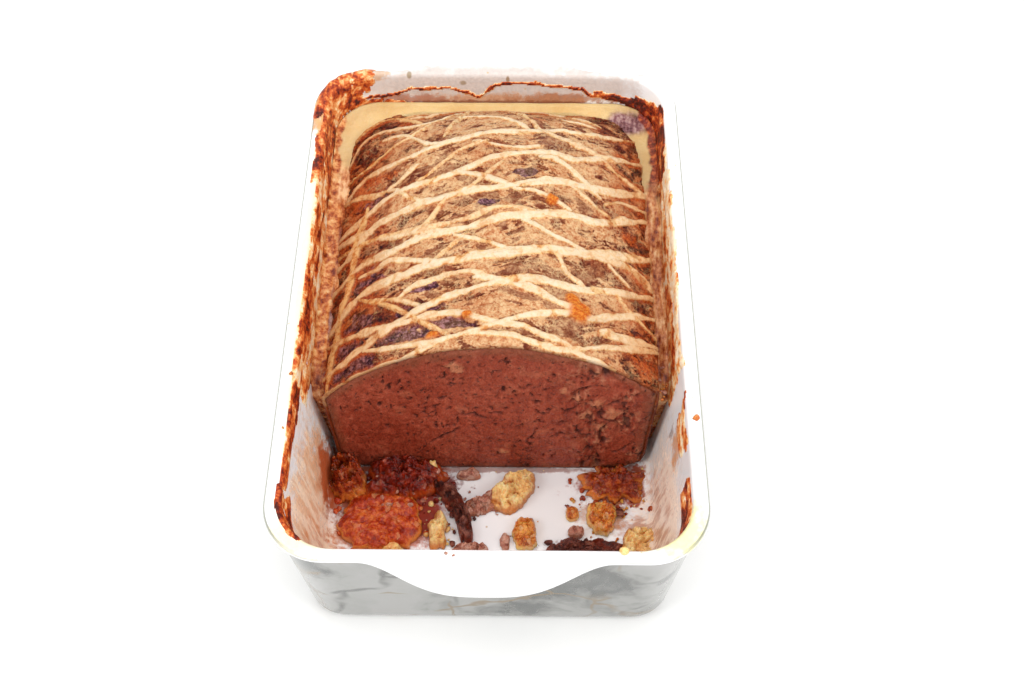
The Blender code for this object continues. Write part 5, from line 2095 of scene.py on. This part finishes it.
GLAZE_STAINS_AND_SHADE = (
    StainAndShade((-71, 20, 67.5), (3.5, 115, 4), tone(252, 226, 168), 0.6, 0.3),
    StainAndShade((-70, 96, 67), (17, 26, 7), tone(236, 158, 92), 0.9, 0.5),
    StainAndShade((-60, -104, 68), (15, 12, 5), tone(250, 238, 188), 0.75, 0.4),
    StainAndShade((62, -102, 68), (16, 14, 5), tone(246, 240, 170), 0.85, 0.4),
    StainAndShade((-60, -80, 36), (14, 50, 40), tone(255, 222, 184), 0.8, 0.4),
    StainAndShade((-54, -96, 18), (20, 24, 30), tone(206, 118, 72), 0.9, 0.5, True),
    StainAndShade((-62, -72, 40), (12, 40, 26), tone(228, 164, 112), 0.6, 0.5, True),
    StainAndShade((-63.5, -56, 22), (9, 15, 24), tone(232, 176, 132), 0.8, 0.5),
    StainAndShade((-63.5, -54, 16), (9, 14, 18), tone(190, 84, 36), 0.92, 0.5),
    StainAndShade((60, -80, 30), (14, 46, 36), tone(255, 226, 196), 0.7, 0.4),
    StainAndShade((58, -82, 18), (14, 36, 30), tone(196, 138, 110), 0.8, 0.5, True),
    StainAndShade((66, -62, 52), (6, 8, 9), tone(206, 132, 62), 0.8, 0.6),
    StainAndShade((64, -52, 46), (6, 3, 5), tone(120, 84, 72), 0.7, 0.7),
    # Greyish band over the upper back wall: painted shade, not a stain.
    StainAndShade((0, 111, 62), (90, 9, 12), tone(206, 190, 180), 0.8, 0.3),
    StainAndShade((0, 110, 54), (68, 8, 5.5), tone(206, 150, 108), 0.8, 0.5),
    StainAndShade((-40, 110, 55), (30, 8, 4), tone(168, 108, 92), 0.7, 0.6),
    StainAndShade((30, 110, 56), (34, 8, 3), tone(176, 112, 78), 0.7, 0.6),
    StainAndShade((-54, 112, 68), (10, 7, 4), tone(206, 150, 84), 0.55, 1.1),
    StainAndShade((-37, 111.5, 67.5), (1.2, 2.2, 2), tone(140, 112, 58), 0.7, 0.3),
    StainAndShade((5, 110, 66), (1, 3, 2), tone(150, 112, 70), 0.8, 0.3),
    StainAndShade((-14, 110, 64), (2, 1.6, 1.4), tone(150, 120, 78), 0.7, 0.5),
    StainAndShade((0, 110, 53.2), (70, 8, 2.4), tone(140, 80, 54), 0.8, 0.5),
    StainAndShade((-40, -70, 6), (24, 18, 4), tone(196, 92, 50), 0.85),
    StainAndShade((-26, -64, 6), (10, 13, 4), tone(150, 44, 20), 0.97, 0.3),
    StainAndShade((-34, -52, 6), (24, 11, 4), tone(120, 36, 22), 0.95),
    StainAndShade((-58, -56, 10), (10, 22, 10), tone(160, 72, 34), 0.9),
    StainAndShade((50, -53, 6), (19, 12, 5), tone(160, 62, 26), 0.95),
    StainAndShade((0, -46, 6), (62, 1.8, 4), tone(150, 76, 52), 0.7),
    StainAndShade((44, -66, 6), (10, 9, 4), tone(206, 134, 76), 0.6),
    StainAndShade((34, -83, 6), (20, 7, 4), tone(120, 60, 48), 0.6),
    StainAndShade((-52, -78, 6), (12, 20, 6), tone(206, 130, 92), 0.6, 0.6, True),
)


def main() -> None:
    """Build every piece in order."""
    logging.basicConfig(level=logging.INFO, format="%(name)s: %(message)s")
    Studio().build()
    dish = Dish()
    dish.build(GlazeFinish(GLAZE_STAINS_AND_SHADE).make(), MarbleFinish().make())
    form = LoafForm()
    Loaf(form, CaulNet()).build(SkinFinish().make())
    CutFace(form).build(CutFinish().make())
    SetFat(form, dish).build(SetFatFinish().make())
    Residue(dish).build(BakedFinish().make())
    finishes = {finish.kind: finish.make() for finish in SCRAP_FINISHES}
    maker = ScrapMaker()
    for node, shape in SCRAP_SHAPES.items():
        maker.build(node, shape, finishes[shape.kind])
    CrumbMaker(dish).build(finishes)


if __name__ == "__main__":
    main()
